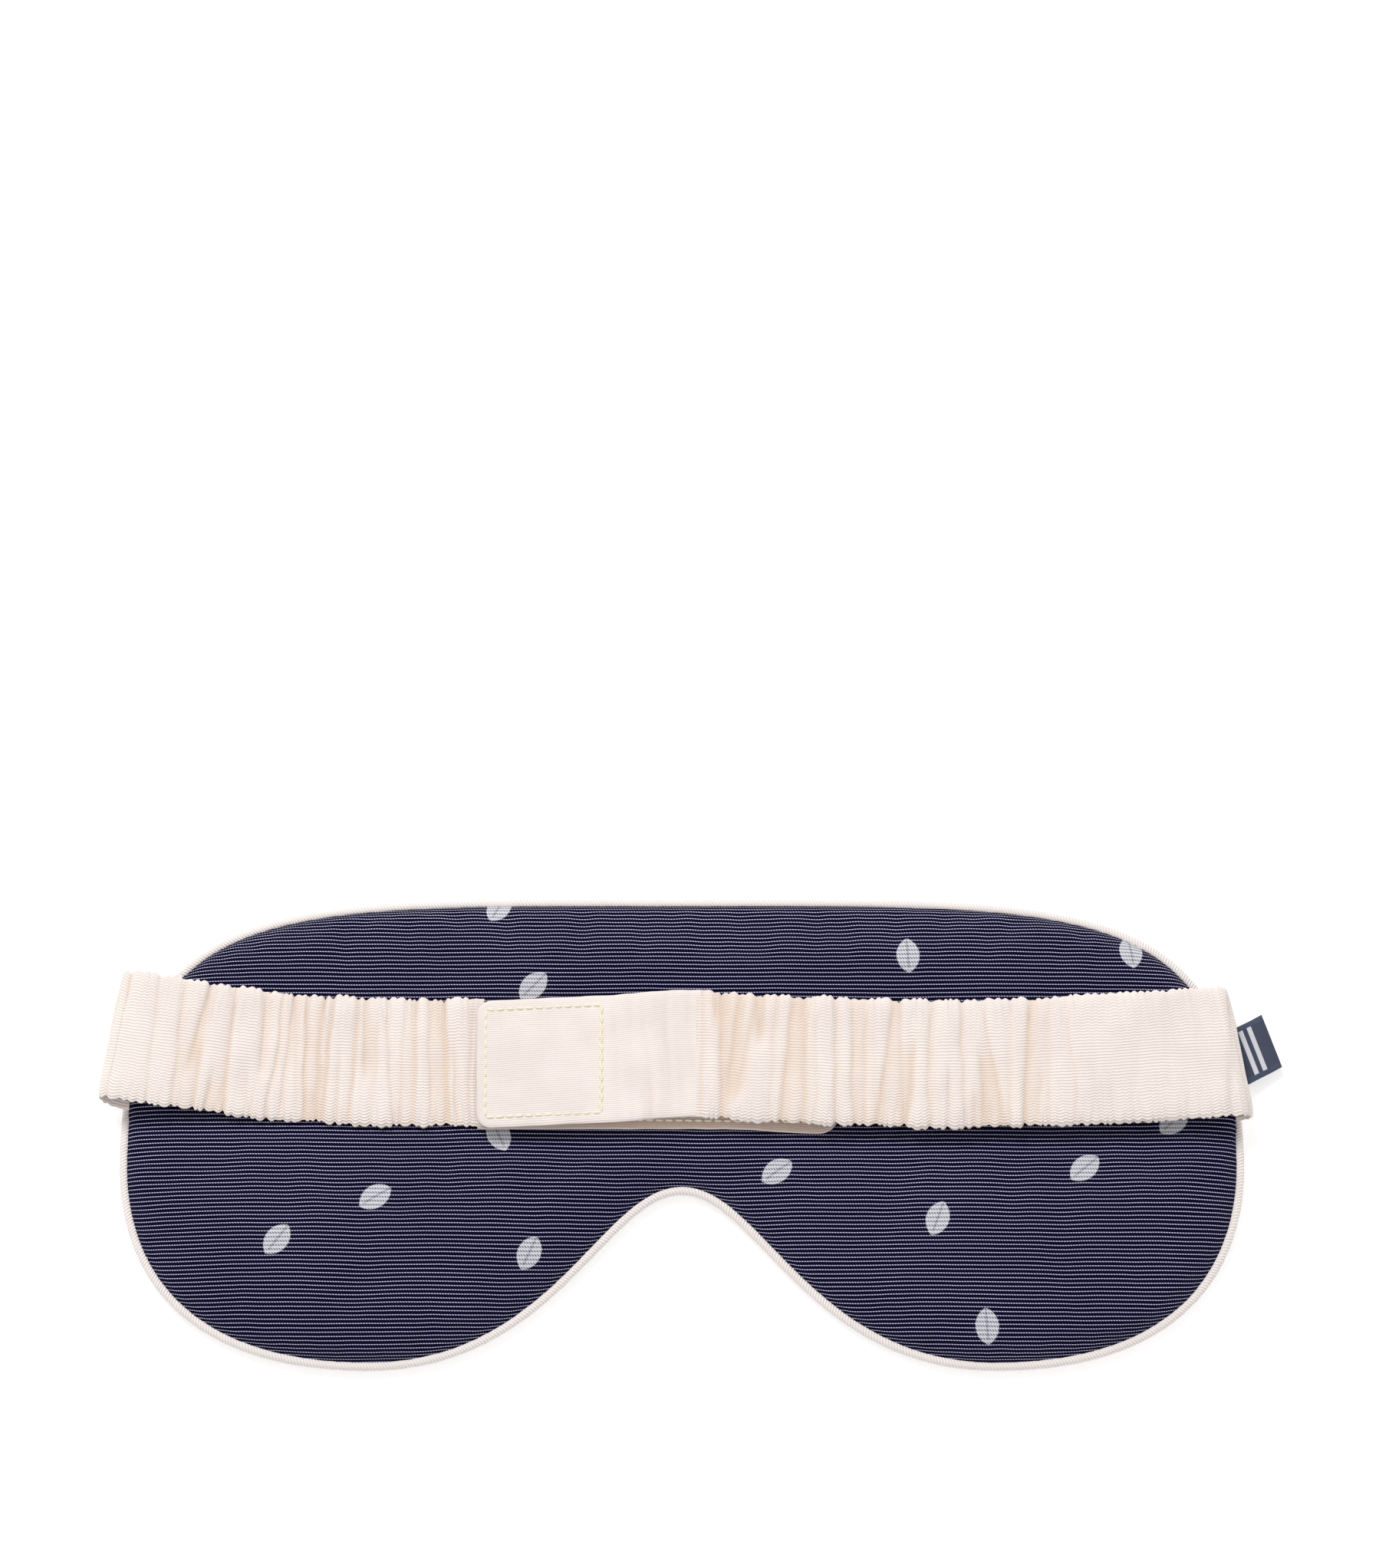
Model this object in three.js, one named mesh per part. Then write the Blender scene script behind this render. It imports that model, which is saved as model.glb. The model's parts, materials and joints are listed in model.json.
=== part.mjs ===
// A padded sleep mask, lying on its outer face with its elastic strap folded over the face side.
// +X runs along the mask, +Y towards the brow and +Z up out of the face side. The origin is on the
// resting face, at the middle of the bridge. All sizes are in millimetres.

import * as THREE from 'three';

// ---- Outline of the mask -------------------------------------------------------------------
const maskWidth = 219.4; // between the widest points of the two sides
const bridgeHeight = 59.3; // from the brow edge down to the top of the nose notch
const lobeDrop = 34.7; // from the top of the notch down to the lowest points of the lobes
const lobeSpacing = 121.6; // between the lowest points of the two lobes
const widestDrop = 23.35; // the widest points lie this far below the middle of the bridge

// Fullness of each outline curve: how far its handles reach, as a share of the curve's own box.
const browFullness = 0.711;
const templeFullness = 1.047;
const cheekFullness = 0.487;
const lobeOuterFullness = 0.769;
const lobeInnerFullness = 0.6;
const notchFullness = 0.238;

// ---- Layers of the mask --------------------------------------------------------------------
const coverThickness = 0.5; // one ply of the ribbed jersey
const liningThickness = 0.3;
const paddingThickness = 4.2;
const layerGap = 0.15; // air between two plies that lie on each other
const seamAllowance = 6.2; // how far the turned-in edges reach inside the outline
const hemThickness = 0.4; // a turned-in edge, pressed by the seam
const crownReach = 14; // the covers curve down to the seam over this width
const shoulderInset = 9; // where the crown of the covers and of the padding bends
const lipInset = 5.4; // edge of the padding's lip, which lies on the turned-in edge
const paddingInset = 0.4; // the padding stops this far short of the turned-in edges

// ---- Piping --------------------------------------------------------------------------------
const pipingWall = 0.3;
const pipingFlange = 0.7; // thickness of the two plies that the seam catches
const pipingCordRadius = 0.45;
const pipingCordGap = 0.15; // between the cord and the fabric round it
const pipingHeight = 2.3; // height of the cord's middle above the resting face
const pipingJoin = 0.06; // share of the last step that the piping's open join leaves free

// ---- Strap ---------------------------------------------------------------------------------
const strapWidth = 25.4;
const sleeveWall = 0.45;
const sleeveEdge = 0.8; // width of the rounding along each edge of the sleeve
const elasticThickness = 0.9;
const elasticMargin = 1.45; // from the sleeve's edge to the elastic
const elasticGap = 0.2; // between the elastic and each face of its sleeve
const rootThickness = 1; // the strap's end, pressed flat where the side seam catches it
const foldRadius = 2.8; // of the middle of the strap, where it folds back over the mask
const foldReach = 0.4; // the fold turns about a line this far outside the outline
const foldTurn = 10.5; // degrees that the fold's line leans from upright
const rootDepth = 5.4; // how far the strap's end reaches inside the outline
const foldTail = 2.5; // straight stretch after the fold, up to the gathered sleeve
const strapEndY = 1; // height of the strap's middle line on the mask, at the folds
const strapMiddleY = -4.2; // and at the closure
const strapDipPower = 2; // how sharply the strap bends down, where its sleeve is long enough
const descent = 32; // length over which the left strap comes down from its fold to the mask
const partGap = 0.3; // between pieces of strap that are sewn end to end
const liftMargin = 6; // the seam is lifted this far past each edge of the strap
const liftFade = 6; // and comes down again over this length

// ---- Closure -------------------------------------------------------------------------------
const tabTip = -40; // where the tip of the closure tab lies along the mask
const tabLength = 25.5;
const leadLength = 16.4;
const flatThickness = 1; // two plies of sleeve fabric, pressed flat
const lapLength = 71;
const tabCorner = 3;
const lapCorner = 4;
const hookTapeThickness = 0.7;
const hookTapeStart = 0.5; // from the tab's root to its tape
const loopTapeThickness = 0.9;
const loopTapeStart = 5.8; // from the lap's root to its tape
const tapeInset = 1.2; // from the tip of a flat end to its tape
const tapeMargin = 1.4; // from the edge of the strap to a tape
const tapeCorner = 1;
const tapeGap = 0.1; // between a tape and the fabric that it is sewn to
const hookGap = 0.3; // between the hooks and the loops
const seamInset = 0.6; // from a tape's edge to the middle of its stitching
const threadWidth = 0.5;
const hookThreadThickness = 0.2;
const loopThreadThickness = 0.15;
const threadGap = 0.05;

// ---- Side label ----------------------------------------------------------------------------
const labelWidth = 11.2;
const labelLength = 7.4; // from the line that it bends along
const labelThickness = 0.4;
const labelTurn = 2.5; // degrees that the label leans from the side seam
const labelReach = 1; // from the outline to the line that the label bends along
const labelGap = 0.1; // between the label and the piping below it

// ---- Fineness ------------------------------------------------------------------------------
const browSteps = 15;
const cheekSteps = 11;
const notchSteps = 10;
const strapStep = 8;
const foldSteps = 8;

// ---- Sizes and heights that follow from the ones above -------------------------------------
const pipingRadius = pipingCordRadius + pipingCordGap + pipingWall;
const sleeveThickness = elasticThickness + 2 * elasticGap + 2 * sleeveWall;
const elasticWidth = strapWidth - 2 * elasticMargin;
const tapeWidth = strapWidth - 2 * tapeMargin;
const hemBelowTop = pipingHeight - pipingFlange / 2 - layerGap;
const hemAboveBottom = pipingHeight + pipingFlange / 2 + layerGap;
const liningBottom = coverThickness + layerGap;
const paddingBottom = liningBottom + liningThickness + layerGap;
const paddingTop = paddingBottom + paddingThickness;
const faceTop = paddingTop + layerGap + coverThickness;
const labelBottom = pipingHeight + pipingRadius + labelGap;
const rootBottom = labelBottom + labelThickness + layerGap;
const rootMiddle = rootBottom + rootThickness / 2;
const foldMiddle = rootMiddle + foldRadius;
const foldTop = foldMiddle + foldRadius;
const rootLift = rootBottom + rootThickness + layerGap - hemAboveBottom;
const lapBottom = faceTop + 0.25;
const loopTapeBottom = lapBottom + flatThickness + tapeGap;
const loopThreadBottom = loopTapeBottom + loopTapeThickness + threadGap;
const hookTapeBottom = loopTapeBottom + loopTapeThickness + hookGap;
const tabBottom = hookTapeBottom + hookTapeThickness + tapeGap;
const hookThreadBottom = tabBottom + flatThickness + threadGap;
const leftRunMiddle = lapBottom + sleeveThickness / 2;
const rightRunMiddle = tabBottom + flatThickness / 2;
const bulbInset = pipingRadius;
const rimInset = 2 * pipingRadius + partGap;

// ---- Places along the mask -----------------------------------------------------------------
const tabRoot = tabTip + tabLength;
const leadEnd = tabRoot + 2 * partGap + leadLength;
const rightSleeveEnd = leadEnd + partGap;
const lapRoot = tabTip - partGap;
const leftSleeveEnd = lapRoot - partGap;

// ---- Materials -----------------------------------------------------------------------------
const cloth = (color, roughness) => new THREE.MeshStandardMaterial({ color, roughness, metalness: 0 });
const navyJersey = cloth(0x2b2b44, 0.85);
const creamJersey = cloth(0xeee2d9, 0.9);
const creamPiping = cloth(0xe9e1de, 0.8);
const thread = cloth(0xefe4c6, 0.7);
const foam = cloth(0xf2efe8, 1);
const blackLining = cloth(0x17171b, 0.9);
const whiteCord = cloth(0xf4f2ee, 0.9);
const whiteElastic = cloth(0xf5f3f0, 0.75);
const whiteTape = cloth(0xf3ede6, 0.9);
const labelWeave = cloth(0x373f53, 0.6);

// ---- The outline ---------------------------------------------------------------------------
// Right half from the brow's middle round to the notch's middle, as three cubic curves.
function halfOutline() {
	const half = maskWidth / 2;
	const lobe = lobeSpacing / 2;
	const brow = bridgeHeight / 2;
	const notch = -bridgeHeight / 2;
	const low = notch - lobeDrop;
	const wide = -widestDrop;
	const point = (x, y) => new THREE.Vector2(x, y);
	const temple = wide + (brow - wide) * templeFullness;
	const cheek = wide + (low - wide) * cheekFullness;
	const lobeOuter = lobe + (half - lobe) * lobeOuterFullness;
	const lobeInner = lobe * (1 - lobeInnerFullness);
	const side = point(half, wide);
	const bottom = point(lobe, low);
	return [
		new THREE.CubicBezierCurve(
			point(0, brow), point(half * browFullness, brow), point(half, temple), side),
		new THREE.CubicBezierCurve(side, point(half, cheek), point(lobeOuter, low), bottom),
		new THREE.CubicBezierCurve(
			bottom, point(lobeInner, low), point(lobe * notchFullness, notch), point(0, notch)),
	];
}

// Stations round the whole outline, anticlockwise from above, each with its outward normal.
function outlineStations() {
	const steps = [browSteps, cheekSteps, notchSteps];
	const right = halfOutline().flatMap((curve, i) => curve.getPoints(steps[i]).slice(0, -1));
	const notchMiddle = new THREE.Vector2(0, -bridgeHeight / 2);
	const left = [...right, notchMiddle].slice(1).map((p) => new THREE.Vector2(-p.x, p.y));
	const loop = [...left, ...right.reverse()];
	return loop.map((p, i) => {
		const next = loop[(i + 1) % loop.length];
		const before = loop[(i + loop.length - 1) % loop.length];
		const along = next.clone().sub(before).normalize();
		return { p, n: new THREE.Vector2(along.y, -along.x) };
	});
}

const stations = outlineStations();

// The point of the right-hand side at a height y, with the outward normal there.
function sideAt(y) {
	const side = halfOutline()[0];
	let low = 0.5;
	let high = 1;
	for (let i = 0; i < 40; i++) {
		const middle = (low + high) / 2;
		if (side.getPoint(middle).y > y) low = middle;
		else high = middle;
	}
	const along = side.getTangent(low);
	return { p: side.getPoint(low), n: new THREE.Vector2(-along.y, along.x) };
}

const seam = sideAt(strapEndY);
const foldAngle = THREE.MathUtils.degToRad(foldTurn);
const foldOut = new THREE.Vector2(Math.cos(foldAngle), Math.sin(foldAngle));
const foldPoint = seam.p.clone().addScaledVector(foldOut, foldReach);

// The strap leaves the fold at the fold's own angle and is level before its flat end begins.
const strapDrop = foldPoint.y - strapMiddleY;
const foldSlope = Math.tan(foldAngle);
const strapDip = Math.min((strapDipPower * strapDrop) / foldSlope, foldPoint.x + leftSleeveEnd);
const dipPower = (strapDip * foldSlope) / strapDrop;

// ---- Building blocks -----------------------------------------------------------------------
// Triangles that close a flat section, turning the same way round as its points.
function capOf(section) {
	const normal = new THREE.Vector3();
	section.forEach((p, i) => normal.add(p.clone().cross(section[(i + 1) % section.length])));
	const size = normal.toArray().map(Math.abs);
	const widest = size.indexOf(Math.max(...size));
	const kept = [0, 1, 2].filter((axis) => axis !== widest);
	const contour = section.map((p) => new THREE.Vector2(...kept.map((axis) => p.getComponent(axis))));
	const faces = THREE.ShapeUtils.triangulateShape(contour, []);
	return THREE.ShapeUtils.isClockWise(contour) ? faces.map((face) => face.toReversed()) : faces;
}

// A mesh's volume, negative when its faces point inwards, as they do after a mirror.
function signedVolume(points, index) {
	let volume = 0;
	for (let i = 0; i < index.length; i += 3) {
		const [a, b, c] = [points[index[i]], points[index[i + 1]], points[index[i + 2]]];
		volume += a.dot(b.clone().cross(c)) / 6;
	}
	return volume;
}

// Skins closed sections in order, splitting each four-sided face along its shorter diagonal.
// Without caps, the last section is the first one again.
function loft(sections, capped = true) {
	const size = sections[0].length;
	const last = (sections.length - 1) * size;
	const points = sections.flat();
	const index = [];
	for (let row = 0; row < last; row += size) {
		for (let j = 0; j < size; j++) {
			const [a, b] = [row + j, row + ((j + 1) % size)];
			const [c, d] = [b + size, a + size];
			const shorter = points[b].distanceTo(points[d]) < points[a].distanceTo(points[c]);
			index.push(...(shorter ? [a, b, d, b, c, d] : [a, b, c, a, c, d]));
		}
	}
	if (capped) {
		index.push(...capOf(sections[0]).flatMap((face) => face.toReversed()));
		index.push(...capOf(sections[sections.length - 1]).flat().map((i) => i + last));
	}
	const geometry = new THREE.BufferGeometry().setFromPoints(points);
	geometry.setIndex(signedVolume(points, index) < 0 ? index.toReversed() : index);
	geometry.computeVertexNormals();
	return geometry;
}

// How much the seam is lifted at a station, from 0 to 1, to make room for the end of the strap.
function liftAt({ p, n }) {
	const seamMiddle = p.clone().addScaledVector(n, -seamAllowance / 2);
	const fromFold = new THREE.Vector2(Math.abs(seamMiddle.x), seamMiddle.y).sub(foldPoint);
	if (-fromFold.x > lobeSpacing / 2) return 0;
	const aside = Math.abs(fromFold.cross(foldOut));
	const reach = strapWidth / 2 + liftMargin;
	return 1 - THREE.MathUtils.smoothstep(aside, reach, reach + liftFade);
}

const stationLifts = stations.map(liftAt);

// A closed ring of points at an inward offset from the outline. lift is the rise at the strap ends.
function ring(inset, height, lift = 0) {
	return stations.map(({ p, n }, i) => {
		const x = p.x - n.x * inset;
		const y = p.y - n.y * inset;
		return new THREE.Vector3(x, y, height + lift * stationLifts[i]);
	});
}

// How high the crown of the face side stands at an inset, between the rim and the flat middle.
function crown(inset, rim, top) {
	const share = THREE.MathUtils.clamp((inset - rimInset) / (crownReach - rimInset), 0, 1);
	return rim + (top - rim) * (1 - (1 - share) ** 2.2);
}

const fadingLift = (inset) => rootLift * (1 - Math.max(0, inset - rimInset) / (crownReach - rimInset));
const crownRing = (inset, rim, top) => ring(inset, crown(inset, rim, top), fadingLift(inset));

// Frames along a strap, from its fold to the place endX, on the right-hand side. Each frame has a
// point, the direction across the strap and the direction up out of it.
function strapPoint(x, endX, middleZ, drop) {
	const share = THREE.MathUtils.clamp((x - foldPoint.x + strapDip) / strapDip, 0, 1);
	const y = strapMiddleY + strapDrop * share ** dipPower;
	const down = THREE.MathUtils.smoothstep(x, foldPoint.x - drop, foldPoint.x - foldTail);
	return new THREE.Vector3(x, y, middleZ + (foldTop - middleZ) * down);
}

function strapFrames(startX, endX, middleZ, drop) {
	const count = Math.ceil((startX - endX) / strapStep);
	return Array.from({ length: count + 1 }, (_, i) => {
		const x = startX + ((endX - startX) * i) / count;
		const at = strapPoint(x, endX, middleZ, drop);
		const along = strapPoint(x - 0.5, endX, middleZ, drop)
			.sub(strapPoint(x + 0.5, endX, middleZ, drop))
			.normalize();
		const across = new THREE.Vector3(0, 0, 1).cross(along).normalize();
		return { at, across, up: new THREE.Vector3().crossVectors(along, across) };
	});
}

const place = ({ at, across, up }, [w, h]) =>
	at.clone().addScaledVector(across, w).addScaledVector(up, h);

// The same points on the left-hand side when side is -1.
const mirrored = (sections, side) =>
	sections.map((section) => section.map((p) => new THREE.Vector3(side * p.x, p.y, p.z)));

// A flat oval section with rounded edges, eight points round.
function flatOval(width, thickness, edge) {
	const w = width / 2;
	const h = thickness / 2;
	const quarter = [[w, h * 0.4], [w - edge, h]];
	const mirrorX = ([x, y]) => [-x, y];
	const top = [...quarter, ...quarter.map(mirrorX).reverse()];
	return [...top, ...top.map(([x, y]) => [x, -y]).reverse()];
}

const rectangle = (width, thickness) => [
	[width / 2, thickness / 2],
	[-width / 2, thickness / 2],
	[-width / 2, -thickness / 2],
	[width / 2, -thickness / 2],
];

// A hose that is open at both ends: out along its outer skin and back along its inner one.
function hollow(outer, inner) {
	return loft([...outer, ...inner.toReversed(), outer[0]], false);
}

// A flat piece lying along X from startX to endX about the strap's middle line. Corners at the end
// where corner is given are rounded; the other end is square.
function flatShape(startX, endX, width, corner, bothEnds = false) {
	const sign = Math.sign(endX - startX);
	const low = strapMiddleY - width / 2;
	const high = strapMiddleY + width / 2;
	const near = bothEnds ? corner : 0;
	const shape = new THREE.Shape();
	shape.moveTo(startX + sign * near, low);
	shape.lineTo(endX - sign * corner, low);
	shape.quadraticCurveTo(endX, low, endX, low + corner);
	shape.lineTo(endX, high - corner);
	shape.quadraticCurveTo(endX, high, endX - sign * corner, high);
	shape.lineTo(startX + sign * near, high);
	if (bothEnds) {
		shape.quadraticCurveTo(startX, high, startX, high - corner);
		shape.lineTo(startX, low + corner);
		shape.quadraticCurveTo(startX, low, startX + sign * near, low);
	}
	return shape;
}

function extruded(shape, thickness, bottom) {
	const geometry = new THREE.ExtrudeGeometry(shape, {
		depth: thickness,
		bevelEnabled: false,
		curveSegments: 4,
	});
	return geometry.translate(0, 0, bottom);
}

// Stitching round a tape, as one band of thread that follows the tape's edge.
function stitchBand(startX, endX, width, thickness, bottom) {
	const low = Math.min(startX, endX);
	const high = Math.max(startX, endX);
	const outline = (inset) =>
		flatShape(low + inset, high - inset, width - 2 * inset, tapeCorner, true);
	const shape = outline(seamInset - threadWidth / 2);
	shape.holes.push(outline(seamInset + threadWidth / 2));
	return extruded(shape, thickness, bottom);
}

// ---- Mask ----------------------------------------------------------------------------------
// Each layer is skinned from the middle of its underside, out round its edge, to its top.
function outerCover() {
	const rim = hemBelowTop - hemThickness - layerGap;
	return loft([
		ring(crownReach, 0),
		ring(rimInset + 2.7, 0),
		ring(rimInset + 0.8, 0.35),
		ring(rimInset, 1.1),
		ring(rimInset, hemBelowTop),
		ring(seamAllowance, hemBelowTop),
		ring(seamAllowance, hemBelowTop - hemThickness),
		ring(rimInset + coverThickness, rim + layerGap),
		ring(rimInset + coverThickness, 1.1),
		ring(rimInset + 1.6, 0.75),
		ring(rimInset + 2.9, coverThickness),
		ring(crownReach, coverThickness),
	]);
}

function faceCover() {
	const hemTop = hemAboveBottom + hemThickness;
	const insideTop = faceTop - coverThickness;
	const rim = hemAboveBottom + 0.3;
	const insideRim = hemTop + 0.1;
	return loft([
		ring(crownReach, insideTop),
		crownRing(shoulderInset, insideRim, insideTop),
		crownRing(lipInset, insideRim, insideTop),
		crownRing(3.6, insideRim, insideTop),
		ring(rimInset + coverThickness, hemTop + 0.05, rootLift),
		ring(seamAllowance, hemTop, rootLift),
		ring(seamAllowance, hemAboveBottom, rootLift),
		ring(rimInset + 0.15, hemAboveBottom, rootLift),
		ring(rimInset, rim, rootLift),
		crownRing(rimInset + 0.8, rim + coverThickness, faceTop),
		crownRing(lipInset, rim + coverThickness, faceTop),
		crownRing(shoulderInset, rim + coverThickness, faceTop),
		ring(crownReach, faceTop),
	]);
}

function padding() {
	const edge = seamAllowance + paddingInset;
	const step = hemAboveBottom + hemThickness + layerGap;
	const rim = hemAboveBottom + hemThickness;
	return loft([
		ring(crownReach, paddingBottom),
		ring(edge, paddingBottom),
		ring(edge, step, rootLift),
		ring(lipInset, step, rootLift),
		crownRing(lipInset, rim, paddingTop),
		crownRing(shoulderInset, rim, paddingTop),
		ring(crownReach, paddingTop),
	]);
}

function blackoutLining() {
	const edge = seamAllowance + paddingInset;
	return loft([
		ring(crownReach, liningBottom),
		ring(edge, liningBottom),
		ring(edge, liningBottom + liningThickness),
		ring(crownReach, liningBottom + liningThickness),
	]);
}

// Stations of the piping, which starts and ends under the left end of the strap.
function pipingStations() {
	const start = stations.findIndex(({ p }) => p.x < 0 && p.y < strapEndY);
	const turned = [...stations.slice(start), ...stations.slice(0, start)];
	const last = turned[turned.length - 1];
	const first = turned[0];
	const join = {
		p: last.p.clone().lerp(first.p, 1 - pipingJoin),
		n: last.n.clone().lerp(first.n, 1 - pipingJoin).normalize(),
	};
	return [...turned, join];
}

// A section that travels round the outline, given as points of inset and height.
const roundOutline = (section) =>
	pipingStations().map(({ p, n }) =>
		section.map(([inset, height]) =>
			new THREE.Vector3(p.x - n.x * inset, p.y - n.y * inset, height)));

function circlePoints(radius, angles) {
	return angles.map((angle) => {
		const turn = THREE.MathUtils.degToRad(angle);
		return [bulbInset + radius * Math.cos(turn), pipingHeight + radius * Math.sin(turn)];
	});
}

// The fabric of the piping: a tube round the cord, with a flange that the seam catches.
function piping() {
	const half = pipingFlange / 2;
	const flange = [
		[seamAllowance, pipingHeight - half],
		[seamAllowance, pipingHeight + half],
	];
	const mouth = THREE.MathUtils.radToDeg(Math.asin(half / pipingRadius));
	const arc = Array.from({ length: 7 }, (_, i) => mouth + ((360 - 2 * mouth) * i) / 6);
	const outer = [...flange, ...circlePoints(pipingRadius, arc)];
	const lumen = circlePoints(pipingRadius - pipingWall, [-12, 12, ...arc]);
	return hollow(roundOutline(outer), roundOutline(lumen));
}

function pipingCord() {
	const angles = Array.from({ length: 6 }, (_, i) => i * 60);
	return loft(roundOutline(circlePoints(pipingCordRadius, angles)));
}

// ---- Strap ---------------------------------------------------------------------------------
// The end of the strap: flat in the seam, then folded back over the mask about the fold line.
function strapRoot(side) {
	const across = new THREE.Vector3(-foldOut.y, foldOut.x, 0);
	const outward = (length, height) => new THREE.Vector3(foldOut.x * length, foldOut.y * length, height);
	const frame = (out, height, angle) => ({
		at: outward(out, height).add(new THREE.Vector3(foldPoint.x, foldPoint.y, 0)),
		across,
		up: outward(Math.sin(angle), -Math.cos(angle)),
	});
	const section = (share) =>
		rectangle(strapWidth, rootThickness + (sleeveThickness - rootThickness) * share);
	const sections = [
		section(0).map((q) => place(frame(-foldReach - rootDepth, rootMiddle, 0), q)),
	];
	for (let i = 0; i <= foldSteps; i++) {
		const angle = (Math.PI * i) / foldSteps;
		const out = foldRadius * Math.sin(angle);
		const height = foldMiddle - foldRadius * Math.cos(angle);
		sections.push(section(i / foldSteps).map((q) => place(frame(out, height, angle), q)));
	}
	sections.push(section(1).map((q) => place(frame(-foldTail, foldTop, Math.PI), q)));
	return loft(mirrored(sections, side));
}

const sleeveFrames = (endX, middleZ, drop) =>
	strapFrames(foldPoint.x - foldTail - partGap, endX, middleZ, drop);

function sleeve(side, endX, middleZ, drop) {
	const frames = sleeveFrames(endX, middleZ, drop);
	const outer = flatOval(strapWidth, sleeveThickness, sleeveEdge);
	const innerWidth = strapWidth - 2 * sleeveWall;
	const inner = flatOval(innerWidth, sleeveThickness - 2 * sleeveWall, sleeveEdge);
	const along = (section) => frames.map((frame) => section.map((q) => place(frame, q)));
	return hollow(mirrored(along(outer), side), mirrored(along(inner), side));
}

function elastic(side, endX, middleZ, drop) {
	const frames = sleeveFrames(endX, middleZ, drop);
	const section = rectangle(elasticWidth, elasticThickness);
	return loft(mirrored(frames.map((frame) => section.map((q) => place(frame, q))), side));
}

const rightRun = [rightSleeveEnd, rightRunMiddle, descent];
const leftRun = [-leftSleeveEnd, leftRunMiddle, descent];

// ---- Closure -------------------------------------------------------------------------------
const rightLead = () =>
	extruded(flatShape(leadEnd, tabRoot + 2 * partGap, strapWidth, 0), flatThickness, tabBottom);

const closureTab = () =>
	extruded(flatShape(tabRoot, tabTip, strapWidth, tabCorner), flatThickness, tabBottom);

const leftLap = () =>
	extruded(flatShape(lapRoot, lapRoot + lapLength, strapWidth, lapCorner), flatThickness, lapBottom);

const hookTapeTip = tabTip + tapeInset;
const hookTapeRoot = tabRoot - hookTapeStart;
const loopTapeTip = lapRoot + lapLength - tapeInset;
const loopTapeRoot = lapRoot + loopTapeStart;

const hookTape = () =>
	extruded(flatShape(hookTapeRoot, hookTapeTip, tapeWidth, tapeCorner, true),
		hookTapeThickness, hookTapeBottom);

const loopTape = () =>
	extruded(flatShape(loopTapeRoot, loopTapeTip, tapeWidth, tapeCorner, true),
		loopTapeThickness, loopTapeBottom);

const hookTapeStitching = () =>
	stitchBand(hookTapeRoot, hookTapeTip, tapeWidth, hookThreadThickness, hookThreadBottom);

const loopTapeStitching = () =>
	stitchBand(loopTapeRoot, loopTapeTip, tapeWidth, loopThreadThickness, loopThreadBottom);

// ---- Label ---------------------------------------------------------------------------------
// The label leans from the seam. It bends along a line just outside the piping.
const labelAngle = Math.atan2(seam.n.y, seam.n.x) + THREE.MathUtils.degToRad(labelTurn);
const labelOut = new THREE.Vector2(Math.cos(labelAngle), Math.sin(labelAngle));
const labelAcross = new THREE.Vector2(-labelOut.y, labelOut.x);
const labelRootPoint = seam.p.clone().addScaledVector(seam.n, labelReach);

const labelCorner = (out, across) =>
	labelRootPoint.clone().addScaledVector(labelOut, out).addScaledVector(labelAcross, across);

function sideLabel() {
	const half = labelWidth / 2;
	const corners = [
		labelCorner(partGap, -half),
		labelCorner(labelLength, -half),
		labelCorner(labelLength, half),
		labelCorner(partGap, half),
	];
	return extruded(new THREE.Shape(corners), labelThickness, labelBottom);
}

// The part of the label that the seam holds, between the piping and the end of the strap.
function sideLabelRoot() {
	const half = labelWidth / 2;
	const seamAcross = new THREE.Vector2(-seam.n.y, seam.n.x);
	const inside = (across) =>
		seam.p.clone().addScaledVector(seam.n, -seamAllowance).addScaledVector(seamAcross, across);
	const corners = [inside(-half), labelCorner(0, -half), labelCorner(0, half), inside(half)];
	return extruded(new THREE.Shape(corners), labelThickness, labelBottom);
}

// ---- Assembly ------------------------------------------------------------------------------
const mask = new THREE.Group();

function add(name, geometry, material) {
	const mesh = new THREE.Mesh(geometry, material);
	mesh.name = name;
	mask.add(mesh);
}

add('outer_cover', outerCover(), navyJersey);
add('face_cover', faceCover(), navyJersey);
add('padding', padding(), foam);
add('blackout_lining', blackoutLining(), blackLining);
add('piping', piping(), creamPiping);
add('piping_cord', pipingCord(), whiteCord);
add('left_strap_root', strapRoot(-1), creamJersey);
add('right_strap_root', strapRoot(1), creamJersey);
add('left_sleeve', sleeve(-1, ...leftRun), creamJersey);
add('right_sleeve', sleeve(1, ...rightRun), creamJersey);
add('left_elastic', elastic(-1, ...leftRun), whiteElastic);
add('right_elastic', elastic(1, ...rightRun), whiteElastic);
add('left_lap', leftLap(), creamJersey);
add('right_lead', rightLead(), creamJersey);
add('closure_tab', closureTab(), creamJersey);
add('hook_tape', hookTape(), whiteTape);
add('hook_tape_stitching', hookTapeStitching(), thread);
add('loop_tape', loopTape(), whiteTape);
add('loop_tape_stitching', loopTapeStitching(), thread);
add('side_label', sideLabel(), labelWeave);
add('side_label_root', sideLabelRoot(), labelWeave);

export default mask;
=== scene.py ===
# The looks of a padded sleep mask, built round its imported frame. Metres, +X along the mask, +Y towards the
# brow, +Z up out of the face side. Shapes are worked out in millimetres and scaled once, in finish_piece().
import functools
import json
import math
import random

import bmesh
import bpy
from mathutils import Matrix, Vector, geometry, kdtree, noise


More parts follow.
